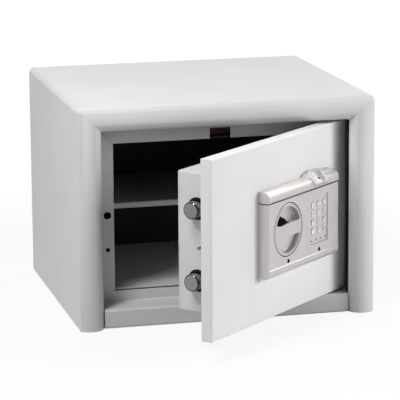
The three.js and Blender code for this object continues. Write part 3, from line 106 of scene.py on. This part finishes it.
class Material:
    """A node tree: a base colour with a faint drift, varied roughness and a fine bump.

    A bump's height is in metres, and a scale counts the spots in a metre.
    """

    def __init__(self, name):
        self.material = bpy.data.materials.new(name)
        self.material.use_nodes = True
        self.nodes = self.material.node_tree.nodes
        self.links = self.material.node_tree.links
        self.shader = self.nodes["Principled BSDF"]
        self.coordinates = self.nodes.new("ShaderNodeTexCoord").outputs["Object"]

    def set(self, **values):
        for key, value in values.items():
            self.shader.inputs[key.replace("_", " ")].default_value = value

    def noise(self, scale, detail, roughness=0.5, stretch=EVEN):
        mapping = self.nodes.new("ShaderNodeMapping")
        mapping.inputs["Scale"].default_value = stretch
        self.links.new(self.coordinates, mapping.inputs["Vector"])
        node = self.nodes.new("ShaderNodeTexNoise")
        node.inputs["Scale"].default_value = scale
        node.inputs["Detail"].default_value = detail
        node.inputs["Roughness"].default_value = roughness
        self.links.new(mapping.outputs["Vector"], node.inputs["Vector"])
        return node.outputs["Fac"]

    def drift(self, low, high, scale=9.0):
        source = self.noise(scale, detail=4.0)
        node = self.nodes.new("ShaderNodeValToRGB")
        for stop, position, colour in zip(node.color_ramp.elements, (0.3, 0.7), (low, high)):
            stop.position = position
            stop.color = (*colour, 1)
        self.links.new(source, node.inputs["Fac"])
        self.links.new(node.outputs["Color"], self.shader.inputs["Base Color"])

    def vary_roughness(self, low, high, scale=60.0, stretch=EVEN):
        node = self.nodes.new("ShaderNodeMapRange")
        node.inputs["To Min"].default_value = low
        node.inputs["To Max"].default_value = high
        source = self.noise(scale, detail=3.0, roughness=0.6, stretch=stretch)
        self.links.new(source, node.inputs["Value"])
        self.links.new(node.outputs["Result"], self.shader.inputs["Roughness"])

    def bump(self, height, scale, strength, detail=2.0, stretch=EVEN):
        node = self.nodes.new("ShaderNodeBump")
        node.inputs["Strength"].default_value = strength
        node.inputs["Distance"].default_value = height
        self.links.new(self.noise(scale, detail, stretch=stretch), node.inputs["Height"])
        self.links.new(node.outputs["Normal"], self.shader.inputs["Normal"])


def powder_coat(name, low, high, roughness=(0.36, 0.44)):
    made = Material(name)
    made.set(Specular_IOR_Level=0.4)
    made.drift(low, high)
    made.vary_roughness(*roughness)
    made.bump(height=0.00008, scale=900.0, strength=0.3)
    return made.material


def silver_paint(name, low, high):
    made = Material(name)
    made.set(Metallic=0.8, Coat_Weight=0.1, Coat_Roughness=0.2)
    made.drift(low, high, scale=40.0)
    made.vary_roughness(0.42, 0.48, scale=300.0)
    made.bump(height=0.00006, scale=2600.0, strength=0.4)
    return made.material


def metal(name, low, high, roughness, stretch=EVEN):
    grain = 400.0
    made = Material(name)
    made.set(Metallic=1.0)
    made.drift(low, high, scale=30.0)
    made.vary_roughness(*roughness, grain, stretch)
    made.bump(height=0.00002, scale=grain, strength=0.3, stretch=stretch)
    return made.material


def plain(name, low, high, roughness, grain=1500.0, height=0.00004, specular=0.5):
    made = Material(name)
    made.set(Specular_IOR_Level=specular)
    made.drift(low, high, scale=60.0)
    made.vary_roughness(*roughness)
    made.bump(height, grain, strength=0.4)
    return made.material


def felt(name, low, high):
    made = Material(name)
    made.set(Sheen_Weight=0.4, Sheen_Roughness=0.6)
    made.drift(low, high, scale=220.0)
    made.vary_roughness(0.85, 0.98)
    made.bump(height=0.0006, scale=1400.0, strength=0.9, detail=6.0)
    return made.material


# Each material's darkest and palest colour, then its smoothest and roughest spot.
CASE_WHITE = powder_coat("case_paint", (0.70, 0.71, 0.70), (0.74, 0.75, 0.74))
DOOR_WHITE = powder_coat("door_paint", (0.84, 0.84, 0.835), (0.88, 0.88, 0.875))
FRAME_GREY = powder_coat("frame_paint", (0.64, 0.65, 0.645), (0.68, 0.69, 0.685))
# Painted shade: the liner's near-black colour stands in for the shade deep inside the safe.
LINER_PAINTED_SHADE = powder_coat("liner_paint", (0.030, 0.029, 0.028), (0.045, 0.043, 0.042), (0.55, 0.7))
SHELF_GREY = powder_coat("shelf_paint", (0.68, 0.68, 0.68), (0.74, 0.74, 0.735))
SILVER = silver_paint("silver_paint", (0.71, 0.67, 0.663), (0.75, 0.71, 0.703))
# Painted reflection: the chrome's dark base colour stands in for the dim surroundings that the
# bolts mirror.
CHROME_DARK_REFLECTION = metal("chrome", (0.25, 0.235, 0.235), (0.31, 0.295, 0.295), (0.12, 0.2))
STEEL = metal("zinc_steel", (0.48, 0.49, 0.50), (0.58, 0.59, 0.60), (0.28, 0.42), (1, 1, 8))
KEY_WHITE = plain("key_plastic", (0.90, 0.885, 0.875), (0.93, 0.915, 0.905), (0.3, 0.4))
INK = plain("ink", (0.03, 0.03, 0.034), (0.05, 0.05, 0.055), (0.5, 0.6), specular=0.1)
BLACK = plain(
    "black_plastic", (0.004, 0.0035, 0.0035), (0.008, 0.007, 0.007), (0.5, 0.65), specular=0.01
)
RUBBER = plain("rubber", (0.014, 0.013, 0.013), (0.022, 0.021, 0.021), (0.7, 0.85), specular=0.1)
FILL = plain(
    "fire_fill", (0.16, 0.08, 0.065), (0.26, 0.15, 0.12), (0.9, 1.0), grain=500.0, height=0.0008
)
BOARD = plain(
    "core_board", (0.42, 0.39, 0.33), (0.5, 0.47, 0.4), (0.85, 0.95), grain=700.0, height=0.0004
)
GREEN = plain("circuit_board", (0.03, 0.12, 0.05), (0.05, 0.17, 0.07), (0.3, 0.4))
LENS = plain(
    "lamp_lens", (0.02, 0.02, 0.022), (0.03, 0.03, 0.033), (0.12, 0.18),
    grain=3000.0, height=0.00001, specular=0.2,
)
FELT = felt("felt", (0.54, 0.53, 0.52), (0.64, 0.63, 0.62))

LOOKS = {
    CASE_WHITE: ["outer_casing", "back_panel", "base_plate", "lock_case", "lock_case_cover"],
    DOOR_WHITE: ["door_plate", "door_back_sheet"],
    FRAME_GREY: ["sill", "left_flange", "right_flange", "top_flange"],
    LINER_PAINTED_SHADE: ["inner_liner"],
    SHELF_GREY: ["shelf", "left_shelf_rail", "right_shelf_rail"],
    SILVER: ["lock_housing", "reader_bar", "sensor_tile", "knob", "keypad_panel"],
    CHROME_DARK_REFLECTION: ["upper_bolt", "lower_bolt", "door_contact_pin"],
    STEEL: [
        "hinge_bracket", "upper_hinge_pin", "lower_hinge_pin", "upper_hinge_block",
        "lower_hinge_block", "bolt_guide", "bolt_carriage", "knob_shaft", "cam",
        "solenoid", "cover_screw_1", "cover_screw_2",
    ],
    KEY_WHITE: [f"key_{i}" for i in range(1, 13)],
    BLACK: ["floor_anchor_plug", "back_anchor_plug", "battery_box", "lock_barrel", "key_plug"],
    RUBBER: ["door_gasket"],
    FILL: ["fire_fill"],
    BOARD: ["door_core"],
    GREEN: ["key_board", "circuit_board"],
}
EDGE_WIDTH = 0.3
WIDER_EDGES = {"outer_casing": 0.5, "knob": 0.5, "lock_housing": 0.4, "sill": 0.7}
WELD_REACH = 0.01
FLAT_ANGLE, SHARP_ANGLE = 0.3, 35  # degrees


def ease_edges(node, width):
    """Edges of the solids are eased a little, so that they catch light."""
    node.data.shade_smooth()
    weld = node.modifiers.new("weld", "WELD")
    weld.merge_threshold = WELD_REACH * MM
    flat = node.modifiers.new("flat", "DECIMATE")
    flat.decimate_type = "DISSOLVE"
    flat.angle_limit = math.radians(FLAT_ANGLE)
    bevel = node.modifiers.new("bevel", "BEVEL")
    bevel.width = width * MM
    bevel.segments = 2
    bevel.limit_method = "ANGLE"
    bevel.angle_limit = math.radians(SHARP_ANGLE)
    bevel.use_clamp_overlap = True
    bevel.harden_normals = True
    normals = node.modifiers.new("normals", "WEIGHTED_NORMAL")
    normals.keep_sharp = True


def dress_nodes():
    for look, names in LOOKS.items():
        for name in names:
            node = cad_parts[name]
            node.data.materials.clear()
            node.data.materials.append(look)
            ease_edges(node, WIDER_EDGES.get(name, EDGE_WIDTH))


def new_piece(name, mesh_or_curve, look, body):
    piece = bpy.data.objects.new(name, mesh_or_curve)
    scene.collection.objects.link(piece)
    piece.data.materials.append(look)
    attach(piece, body)
    return piece


def finish_mesh(bm, name, smooth=False):
    mesh = bpy.data.meshes.new(name)
    bm.to_mesh(mesh)
    bm.free()
    if smooth:
        mesh.shade_smooth()
    return mesh


def angles_round(count):
    """Angles in even steps round a full turn."""
    return [math.tau * k / count for k in range(count)]


def band(bm, near, far):
    """Faces between two closed rings of as many vertices."""
    count = len(near)
    for i in range(count):
        j = (i + 1) % count
        bm.faces.new((near[i], near[j], far[j], far[i]))


def plate(name, points, depth, rim):
    """A plate on the outline given in X and Z, from Y 0 back to depth, its front edge rounded."""
    bm = bmesh.new()
    middle = sum((Vector(p) for p in points), Vector((0, 0))) / len(points)
    rings = []
    for y, inset in ((depth, 0.0), (rim, 0.0), (0.3 * rim, 0.3 * rim), (0.0, rim)):
        ring = []
        for p in points:
            out = Vector(p) - middle
            out *= max(out.length - inset, 0.0) / out.length
            ring.append(bm.verts.new((middle.x + out.x, y, middle.y + out.y)))
        rings.append(ring)
    for near, far in zip(rings, rings[1:]):
        band(bm, near, far)
    bm.faces.new(rings[-1])
    bm.faces.new(rings[0][::-1])
    bmesh.ops.recalc_face_normals(bm, faces=bm.faces)
    return finish_mesh(bm, name, smooth=True)


def prism(name, points, low, high):
    """A solid with the outline given in its own X and Y, between two heights."""
    bm = bmesh.new()
    floor = [bm.verts.new((x * MM, y * MM, low * MM)) for x, y in points]
    roof = [bm.verts.new((x * MM, y * MM, high * MM)) for x, y in points]
    bm.faces.new(floor[::-1])
    bm.faces.new(roof)
    band(bm, floor, roof)
    bmesh.ops.recalc_face_normals(bm, faces=bm.faces)
    return finish_mesh(bm, name)


def turned(name, outline, count=64):
    """A ring turned about its own X axis, from its closed outline of (x, radius) points."""
    bm = bmesh.new()
    hoops = [
        [
            bm.verts.new((x * MM, radius * MM * math.cos(angle), radius * MM * math.sin(angle)))
            for angle in angles_round(count)
        ]
        for x, radius in outline
    ]
    for near, far in zip(hoops, hoops[1:] + hoops[:1]):
        band(bm, near, far)
    bmesh.ops.recalc_face_normals(bm, faces=bm.faces)
    return finish_mesh(bm, name)


def dome(name, radius, share, count=20, steps=10):
    """A ball flattened along Y to a share of its size, with its poles on Z.

    Built face by face, because the sphere tool's order of faces changes from run to run.
    """
    bm = bmesh.new()
    radius *= MM
    poles = [bm.verts.new((0.0, 0.0, z)) for z in (radius, -radius)]
    rings = []
    for step in range(1, steps):
        tilt = math.pi * step / steps
        reach, z = radius * math.sin(tilt), radius * math.cos(tilt)
        rings.append([
            bm.verts.new((reach * math.cos(angle), reach * math.sin(angle) * share, z))
            for angle in angles_round(count)
        ])
    for near, far in zip(rings, rings[1:]):
        band(bm, near, far)
    for pole, ring in zip(poles, (rings[0], rings[-1][::-1])):
        for i in range(count):
            bm.faces.new((pole, ring[i], ring[(i + 1) % count]))
    bmesh.ops.recalc_face_normals(bm, faces=bm.faces)
    return finish_mesh(bm, name, smooth=True)


# Digits and two plain signs on the key tops.
KEY_SIGNS = "123456789*0#"
SIGN_SIZE, SIGN_HEIGHT, SIGN_LIFT = 7.6, 0.04, 0.03


def print_keys():
    for i, sign in enumerate(KEY_SIGNS):
        row, column = divmod(i, 3)
        text = bpy.data.curves.new(f"key_sign_{i + 1}", "FONT")
        text.body = sign
        text.size = SIGN_SIZE * MM
        text.align_x = "CENTER"
        text.align_y = "CENTER"
        text.extrude = SIGN_HEIGHT * MM
        piece = new_piece(f"key_sign_{i + 1}", text, INK, f"key_{i + 1}")
        x, z = KEYPAD_X + (column - 1) * KEY_STEP_X, TOP_KEY_Z - row * KEY_STEP_Z
        upright = Matrix.Rotation(QUARTER_TURN, 4, "X")
        piece.matrix_world = door_frame(x, KEY_TOP_Y - SIGN_LIFT, z) @ upright


# The mat is a laid felt sheet with faint waves and a hole over the floor anchor. Metres.
MAT_GRID = (66, 58)
MAT_THICKNESS, MAT_EDGE, MAT_DROP = 0.0024, 0.0006, 0.0004
MAT_HOLE, MAT_HOLE_RADIUS, MAT_HOLE_REACH = Vector((0.0, 0.052)), 0.0112, 0.0032
MAT_WAVE, MAT_EDGE_ANGLE = 0.00018, math.radians(50)
MAT_WAVE_TURNS = ((41.0, 1.3), (37.0, 0.4))  # along X, then Y: radians in a metre, and the start


def make_mat():
    low, high = (Vector(corner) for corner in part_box("floor_mat"))
    columns, rows = MAT_GRID
    (turn_x, start_x), (turn_y, start_y) = MAT_WAVE_TURNS
    bm = bmesh.new()
    grid = []
    for j in range(rows + 1):
        for i in range(columns + 1):
            x = low.x + (high.x - low.x) * i / columns
            y = low.y + (high.y - low.y) * j / rows
            out = Vector((x, y)) - MAT_HOLE
            if MAT_HOLE_RADIUS < out.length < MAT_HOLE_RADIUS + MAT_HOLE_REACH:
                x, y = MAT_HOLE + out.normalized() * MAT_HOLE_RADIUS
            lift = MAT_WAVE * math.sin(turn_x * x + start_x) * math.cos(turn_y * y + start_y)
            grid.append(bm.verts.new((x, y, high.z - MAT_DROP + lift)))
    for j in range(rows):
        for i in range(columns):
            near = j * (columns + 1) + i
            far = near + columns + 1
            ring = [grid[near], grid[near + 1], grid[far + 1], grid[far]]
            middle = sum((v.co for v in ring), Vector()) / 4
            if (middle.xy - MAT_HOLE).length > MAT_HOLE_RADIUS:
                bm.faces.new(ring)
    for vert in [v for v in bm.verts if not v.link_faces]:
        bm.verts.remove(vert)
    mesh = finish_mesh(bm, "felt_mat", smooth=True)
    mat = new_piece("felt_mat", mesh, FELT, "safe_body")
    thick = mat.modifiers.new("thick", "SOLIDIFY")
    thick.thickness = MAT_THICKNESS
    thick.offset = -1.0
    edge = mat.modifiers.new("edge", "BEVEL")
    edge.width = MAT_EDGE
    edge.segments = 2
    edge.angle_limit = MAT_EDGE_ANGLE
    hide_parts("floor_mat")


# Lamp lenses in the small seats under the keys: how many, their radius, and their flatness.
LAMP_COUNT, LAMP_RADIUS, LAMP_SHARE = 4, 1.05, 0.62


def make_lamps():
    for i in range(LAMP_COUNT):
        name = f"lamp_{i + 1}"
        lens = dome(name, LAMP_RADIUS, LAMP_SHARE)
        lamp = new_piece(name, lens, LENS, "door")
        x = KEYPAD_X + (i - (LAMP_COUNT - 1) / 2) * LAMP_STEP_X
        lamp.matrix_world = door_frame(x, LAMP_Y, LAMP_Z)


# Black cover over the emergency lock, clipped into the knob's window. Its tail, lying on the grip
# along its top edge, is painted shadow under that edge.
COVER_WITH_SHADOW_TAIL = [
    (-11.4, -3.6), (-10.6, 0.4), (-8.2, 3.2), (-4.8, 5.1), (-0.6, 5.4), (3.6, 5.0), (7.6, 3.4),
    (10.6, 1.2), (13.0, -1.2), (17.0, -2.9), (21.0, -3.7), (17.0, -4.6), (10.0, -5.0), (4.0, -5.4),
    (-3.0, -5.6), (-8.6, -5.4),
]
COVER_DEPTH, COVER_RIM = 6.0, 0.6


def make_key_cover():
    points = [(x * MM, z * MM) for x, z in reversed(COVER_WITH_SHADOW_TAIL)]
    mesh = plate("key_cover", points, COVER_DEPTH * MM, COVER_RIM * MM)
    cover = new_piece("key_cover", mesh, BLACK, "knob")
    cover.matrix_world = door_frame(*COVER_PLACE)


# Black plugs over the two small holes of the housing, one below the knob, one below the keypad.
PLUG_RADIUS, PLUG_DEPTH, PLUG_RIM, PLUG_SIDES = 2.9, 0.6, 0.2, 24


def make_housing_plugs():
    radius = PLUG_RADIUS * MM
    points = [
        (radius * math.cos(angle), radius * math.sin(angle)) for angle in angles_round(PLUG_SIDES)
    ]
    for i, x in enumerate((KNOB_X, KEYPAD_X)):
        mesh = plate(f"housing_plug_{i + 1}", points, PLUG_DEPTH * MM, PLUG_RIM * MM)
        plug = new_piece(f"housing_plug_{i + 1}", mesh, BLACK, "door")
        plug.matrix_world = door_frame(x, PLUG_Y, PLUG_Z)


# Painted shade: a dark strip in the step between the housing and the reader bar, standing in for
# the shade in that seam, open at the back.
SEAM_OUTER = (-62.06, 128.06, 6.74, 23.5)  # left, right, front, back
SEAM_INNER = (-60.2, 126.2, 8.6)  # left, right, front
SEAM_HEIGHTS = (-1.2, 0.1)


def make_seam_shade_strip():
    left, right, front, back = SEAM_OUTER
    inner_left, inner_right, inner_front = SEAM_INNER
    points = [
        (left, back), (left, front), (right, front), (right, back),
        (inner_right, back), (inner_right, inner_front),
        (inner_left, inner_front), (inner_left, back),
    ]
    mesh = prism("seam_shade_strip", points, *SEAM_HEIGHTS)
    shade_strip = new_piece("seam_shade_strip", mesh, RUBBER, "door")
    shade_strip.matrix_world = door_frame(0.0, 0.0, SEAM_Z)


# Dark lines and the eye of the fingerprint reader, seated in the tile's grooves.
READER_LINES = [
    [(-3.1, -1.4), (-7.6, -1.4), (-7.6, -2.6), (-1.7, -2.6), (-1.7, 9.3), (-3.1, 9.3)],
    [(1.9, -9.3), (4.0, -9.3), (4.0, 9.3), (1.9, 9.3)],
    [(7.1, -8.9), (8.9, -8.9), (8.9, 8.9), (7.1, 8.9)],
]
READER_LINE_HEIGHTS = (0.3, 0.88)
BAR_AXIS = (KEYPAD_X, 17.0, 204.6)
TILE_TILT = math.radians(-43)
TILE_FROM_AXIS = (0.0, -13.8, 1.2)
EYE_ON_TILE = (-2.4, -0.5, -2.1)
EYE_RADIUS, EYE_SHARE = 2.1, 0.5


def make_reader_lines():
    tilt = Matrix.Rotation(TILE_TILT, 4, "X")
    tile = door_frame(*BAR_AXIS) @ tilt @ Matrix.Translation(Vector(TILE_FROM_AXIS) * MM)
    for i, points in enumerate(READER_LINES):
        name = f"reader_line_{i + 1}"
        mesh = prism(name, points, *READER_LINE_HEIGHTS)
        line = new_piece(name, mesh, BLACK, "door")
        line.matrix_world = tile @ Matrix.Rotation(QUARTER_TURN, 4, "X")
    ball = dome("reader_eye", EYE_RADIUS, EYE_SHARE)
    eye = new_piece("reader_eye", ball, BLACK, "door")
    eye.matrix_world = tile @ Matrix.Translation(Vector(EYE_ON_TILE) * MM)


# Painted shade: a dark strip on the frame's reveal beside the door's hinge edge, standing in for
# the deep shade there.
PAINTED_HINGE_SHADE = [
    (180.88, -172.9), (180.88, -179.0), (181.1, -182.0), (181.5, -184.0), (182.6, -184.0),
    (182.0, -172.9),
]
PAINTED_HINGE_SHADE_HEIGHTS = (28.2, 283.0)


def make_painted_hinge_shade():
    mesh = prism("painted_hinge_shade", PAINTED_HINGE_SHADE, *PAINTED_HINGE_SHADE_HEIGHTS)
    new_piece("painted_hinge_shade", mesh, RUBBER, "safe_body")


# Turned rings, each an outline of (x, radius): painted shade, a dark ring in the gap round the
# knob;
# painted shade, dark rings in the gaps where the bolts leave the lock case; painted reflection,
# dark rings on the bolts' end rims.
KNOB_GAP_SHADE = [(0.35, 37.5), (0.35, 38.3), (0.9, 37.75), (1.8, 37.75), (1.8, 37.5)]
BOLT_GAP_SHADE = [(-147.0, 12.5), (-148.9, 12.5), (-148.9, 14.9), (-148.4, 15.6), (-147.6, 15.6)]
BOLT_RIM_DARK_REFLECTION = [(-165.04, 10.45), (-163.42, 12.07), (-163.42, 11.6), (-164.5, 10.45)]


def make_knob_gap_shade():
    gap_shade_ring = new_piece("knob_gap_shade", turned("knob_gap_shade", KNOB_GAP_SHADE), RUBBER, "door")
    facing = Matrix.Rotation(QUARTER_TURN, 4, "Z")
    gap_shade_ring.matrix_world = door_frame(KNOB_X, HOUSING_FACE_Y, KNOB_Z) @ facing


def make_bolt_parts(suffix, outline, look, body):
    for bolt in ("upper_bolt", "lower_bolt"):
        low, high = (Vector(corner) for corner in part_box(bolt))
        name = f"{bolt}_{suffix}"
        piece = new_piece(name, turned(name, outline), look, body)
        piece.matrix_world = door_frame(0.0, BOLT_Y, (low.z + high.z) / 2 / MM)


def smooth_range(nodes, links, source, values):
    """A smooth step from the first pair of values to the second."""
    node = nodes.new("ShaderNodeMapRange")
    node.interpolation_type = "SMOOTHSTEP"
    for name, value in zip(("From Min", "From Max", "To Min", "To Max"), values):
        node.inputs[name].default_value = value
    links.new(source, node.inputs["Value"])
    return node.outputs["Result"]


def backdrop_share(nodes, links, share, glossy):
    """How much of the white backdrop each ray sees; glossy rays see the least."""
    path = nodes.new("ShaderNodeLightPath")
    dimmed, first, second, scale = (nodes.new("ShaderNodeMath") for _ in range(4))
    first.operation = second.operation = "MAXIMUM"
    dimmed.operation = scale.operation = "MULTIPLY"
    for node, amount in ((dimmed, glossy), (scale, share)):
        if isinstance(amount, float):
            node.inputs[1].default_value = amount
        else:
            links.new(amount, node.inputs[1])
    links.new(path.outputs["Is Glossy Ray"], dimmed.inputs[0])
    links.new(path.outputs["Is Camera Ray"], first.inputs[0])
    links.new(dimmed.outputs["Value"], first.inputs[1])
    links.new(first.outputs["Value"], second.inputs[0])
    links.new(path.outputs["Is Transmission Ray"], second.inputs[1])
    links.new(second.outputs["Value"], scale.inputs[0])
    return scale.outputs["Value"]


# The floor is white to the camera and keeps a faint share of the object's shadow near it. Metres.
FLOOR_HALF, FLOOR_Z = 30.0, -0.0005
FLOOR_GLOW, FLOOR_GLOSS = 1.05, 0.55
NEAR_TO_FAR = (0.45, 1.1, 0.84, 1.0)  # two distances, then the share of white at each


def make_floor():
    mesh = bpy.data.meshes.new("floor")
    corners = [(-1, -1), (1, -1), (1, 1), (-1, 1)]
    mesh.from_pydata(
        [(x * FLOOR_HALF, y * FLOOR_HALF, FLOOR_Z) for x, y in corners], [], [(0, 1, 2, 3)]
    )
    floor = bpy.data.objects.new("floor", mesh)
    scene.collection.objects.link(floor)
    made = Material("floor_white")
    made.drift((0.58, 0.58, 0.58), (0.62, 0.62, 0.62), scale=3.0)
    made.vary_roughness(0.85, 0.95, scale=20.0)
    nodes, links = made.nodes, made.links
    far = nodes.new("ShaderNodeVectorMath")
    far.operation = "LENGTH"
    links.new(made.coordinates, far.inputs[0])
    share = smooth_range(nodes, links, far.outputs["Value"], NEAR_TO_FAR)
    glow = nodes.new("ShaderNodeEmission")
    glow.inputs["Strength"].default_value = FLOOR_GLOW
    mix = nodes.new("ShaderNodeMixShader")
    links.new(backdrop_share(nodes, links, share, FLOOR_GLOSS), mix.inputs["Fac"])
    links.new(made.shader.outputs["BSDF"], mix.inputs[1])
    links.new(glow.outputs["Emission"], mix.inputs[2])
    links.new(mix.outputs["Shader"], nodes["Material Output"].inputs["Surface"])
    mesh.materials.append(made.material)


# Metal mirrors the white backdrop behind the object and a dimmer room in front of it: two values
# of a ray's Y direction, then the share of white at each.
FRONT_TO_BACK = (-0.35, 0.25, 0.4, 1.0)
ROOM_STRENGTH, WHITE_STRENGTH = 0.05, 1.0


def make_world():
    world = bpy.data.worlds.new("studio")
    scene.world = world
    world.use_nodes = True
    nodes, links = world.node_tree.nodes, world.node_tree.links
    nodes.clear()
    output = nodes.new("ShaderNodeOutputWorld")
    mix = nodes.new("ShaderNodeMixShader")
    for place, strength in ((1, ROOM_STRENGTH), (2, WHITE_STRENGTH)):
        background = nodes.new("ShaderNodeBackground")
        background.inputs["Color"].default_value = (1, 1, 1, 1)
        background.inputs["Strength"].default_value = strength
        links.new(background.outputs["Background"], mix.inputs[place])
    split = nodes.new("ShaderNodeSeparateXYZ")
    links.new(nodes.new("ShaderNodeTexCoord").outputs["Generated"], split.inputs["Vector"])
    glossy = smooth_range(nodes, links, split.outputs["Y"], FRONT_TO_BACK)
    links.new(backdrop_share(nodes, links, 1.0, glossy), mix.inputs["Fac"])
    links.new(mix.outputs["Shader"], output.inputs["Surface"])


# Each lamp's name, place, aim and size in metres, power in watts, and the rays it is hidden from.
AIM = (0, -0.2, 0.15)
LAMPS = [
    ("key", (-0.858, -1.0, 2.357), AIM, (0.4, 0.4), 20, None),
    ("key_near", (-0.7, -0.66, 0.95), AIM, (0.2, 0.2), 4.4, None),
    ("left", (-2.239, 0.705, 0.797), AIM, (1.0, 1.0), 9, "glossy"),
    ("top_back", (0.0, 0.9, 2.2), (0, 0.3, 0), (2.0, 1.0), 8, None),
    ("right", (1.85, -1.752, 0.797), AIM, (1.2, 1.2), 9, "glossy"),
    ("right_side", (2.178, -1.08, 1.005), AIM, (0.8, 0.8), 30, "glossy"),
    ("rim", (1.65, 0.57, 1.37), (0, -0.3, 0.2), (1.3, 1.3), 9, None),
    ("gloss", (0.0, -0.35, 2.4), AIM, (1.2, 0.8), 8, "diffuse"),
]


def make_lights():
    for name, place, aim, size, power, hidden in LAMPS:
        data = bpy.data.lights.new(name, "AREA")
        data.shape = "RECTANGLE"
        data.size, data.size_y = size
        data.energy = power
        light = bpy.data.objects.new(name, data)
        light.location = place
        light.rotation_mode = "QUATERNION"
        light.rotation_quaternion = (Vector(aim) - Vector(place)).to_track_quat("-Z", "Y")
        light.visible_glossy = hidden != "glossy"
        light.visible_diffuse = hidden != "diffuse"
        scene.collection.objects.link(light)


make_camera()
dress_nodes()
print_keys()
make_lamps()
make_key_cover()
make_housing_plugs()
make_seam_shade_strip()
make_knob_gap_shade()
make_painted_hinge_shade()
make_reader_lines()
# Painted shade: dark rings in the gaps where the bolts leave the lock case.
make_bolt_parts("gap_shade", BOLT_GAP_SHADE, RUBBER, "door")
# Painted reflection: dark rings on the rims of the bolts' ends.
make_bolt_parts("ring", BOLT_RIM_DARK_REFLECTION, BLACK, "bolts")
make_mat()
make_floor()
make_world()
make_lights()
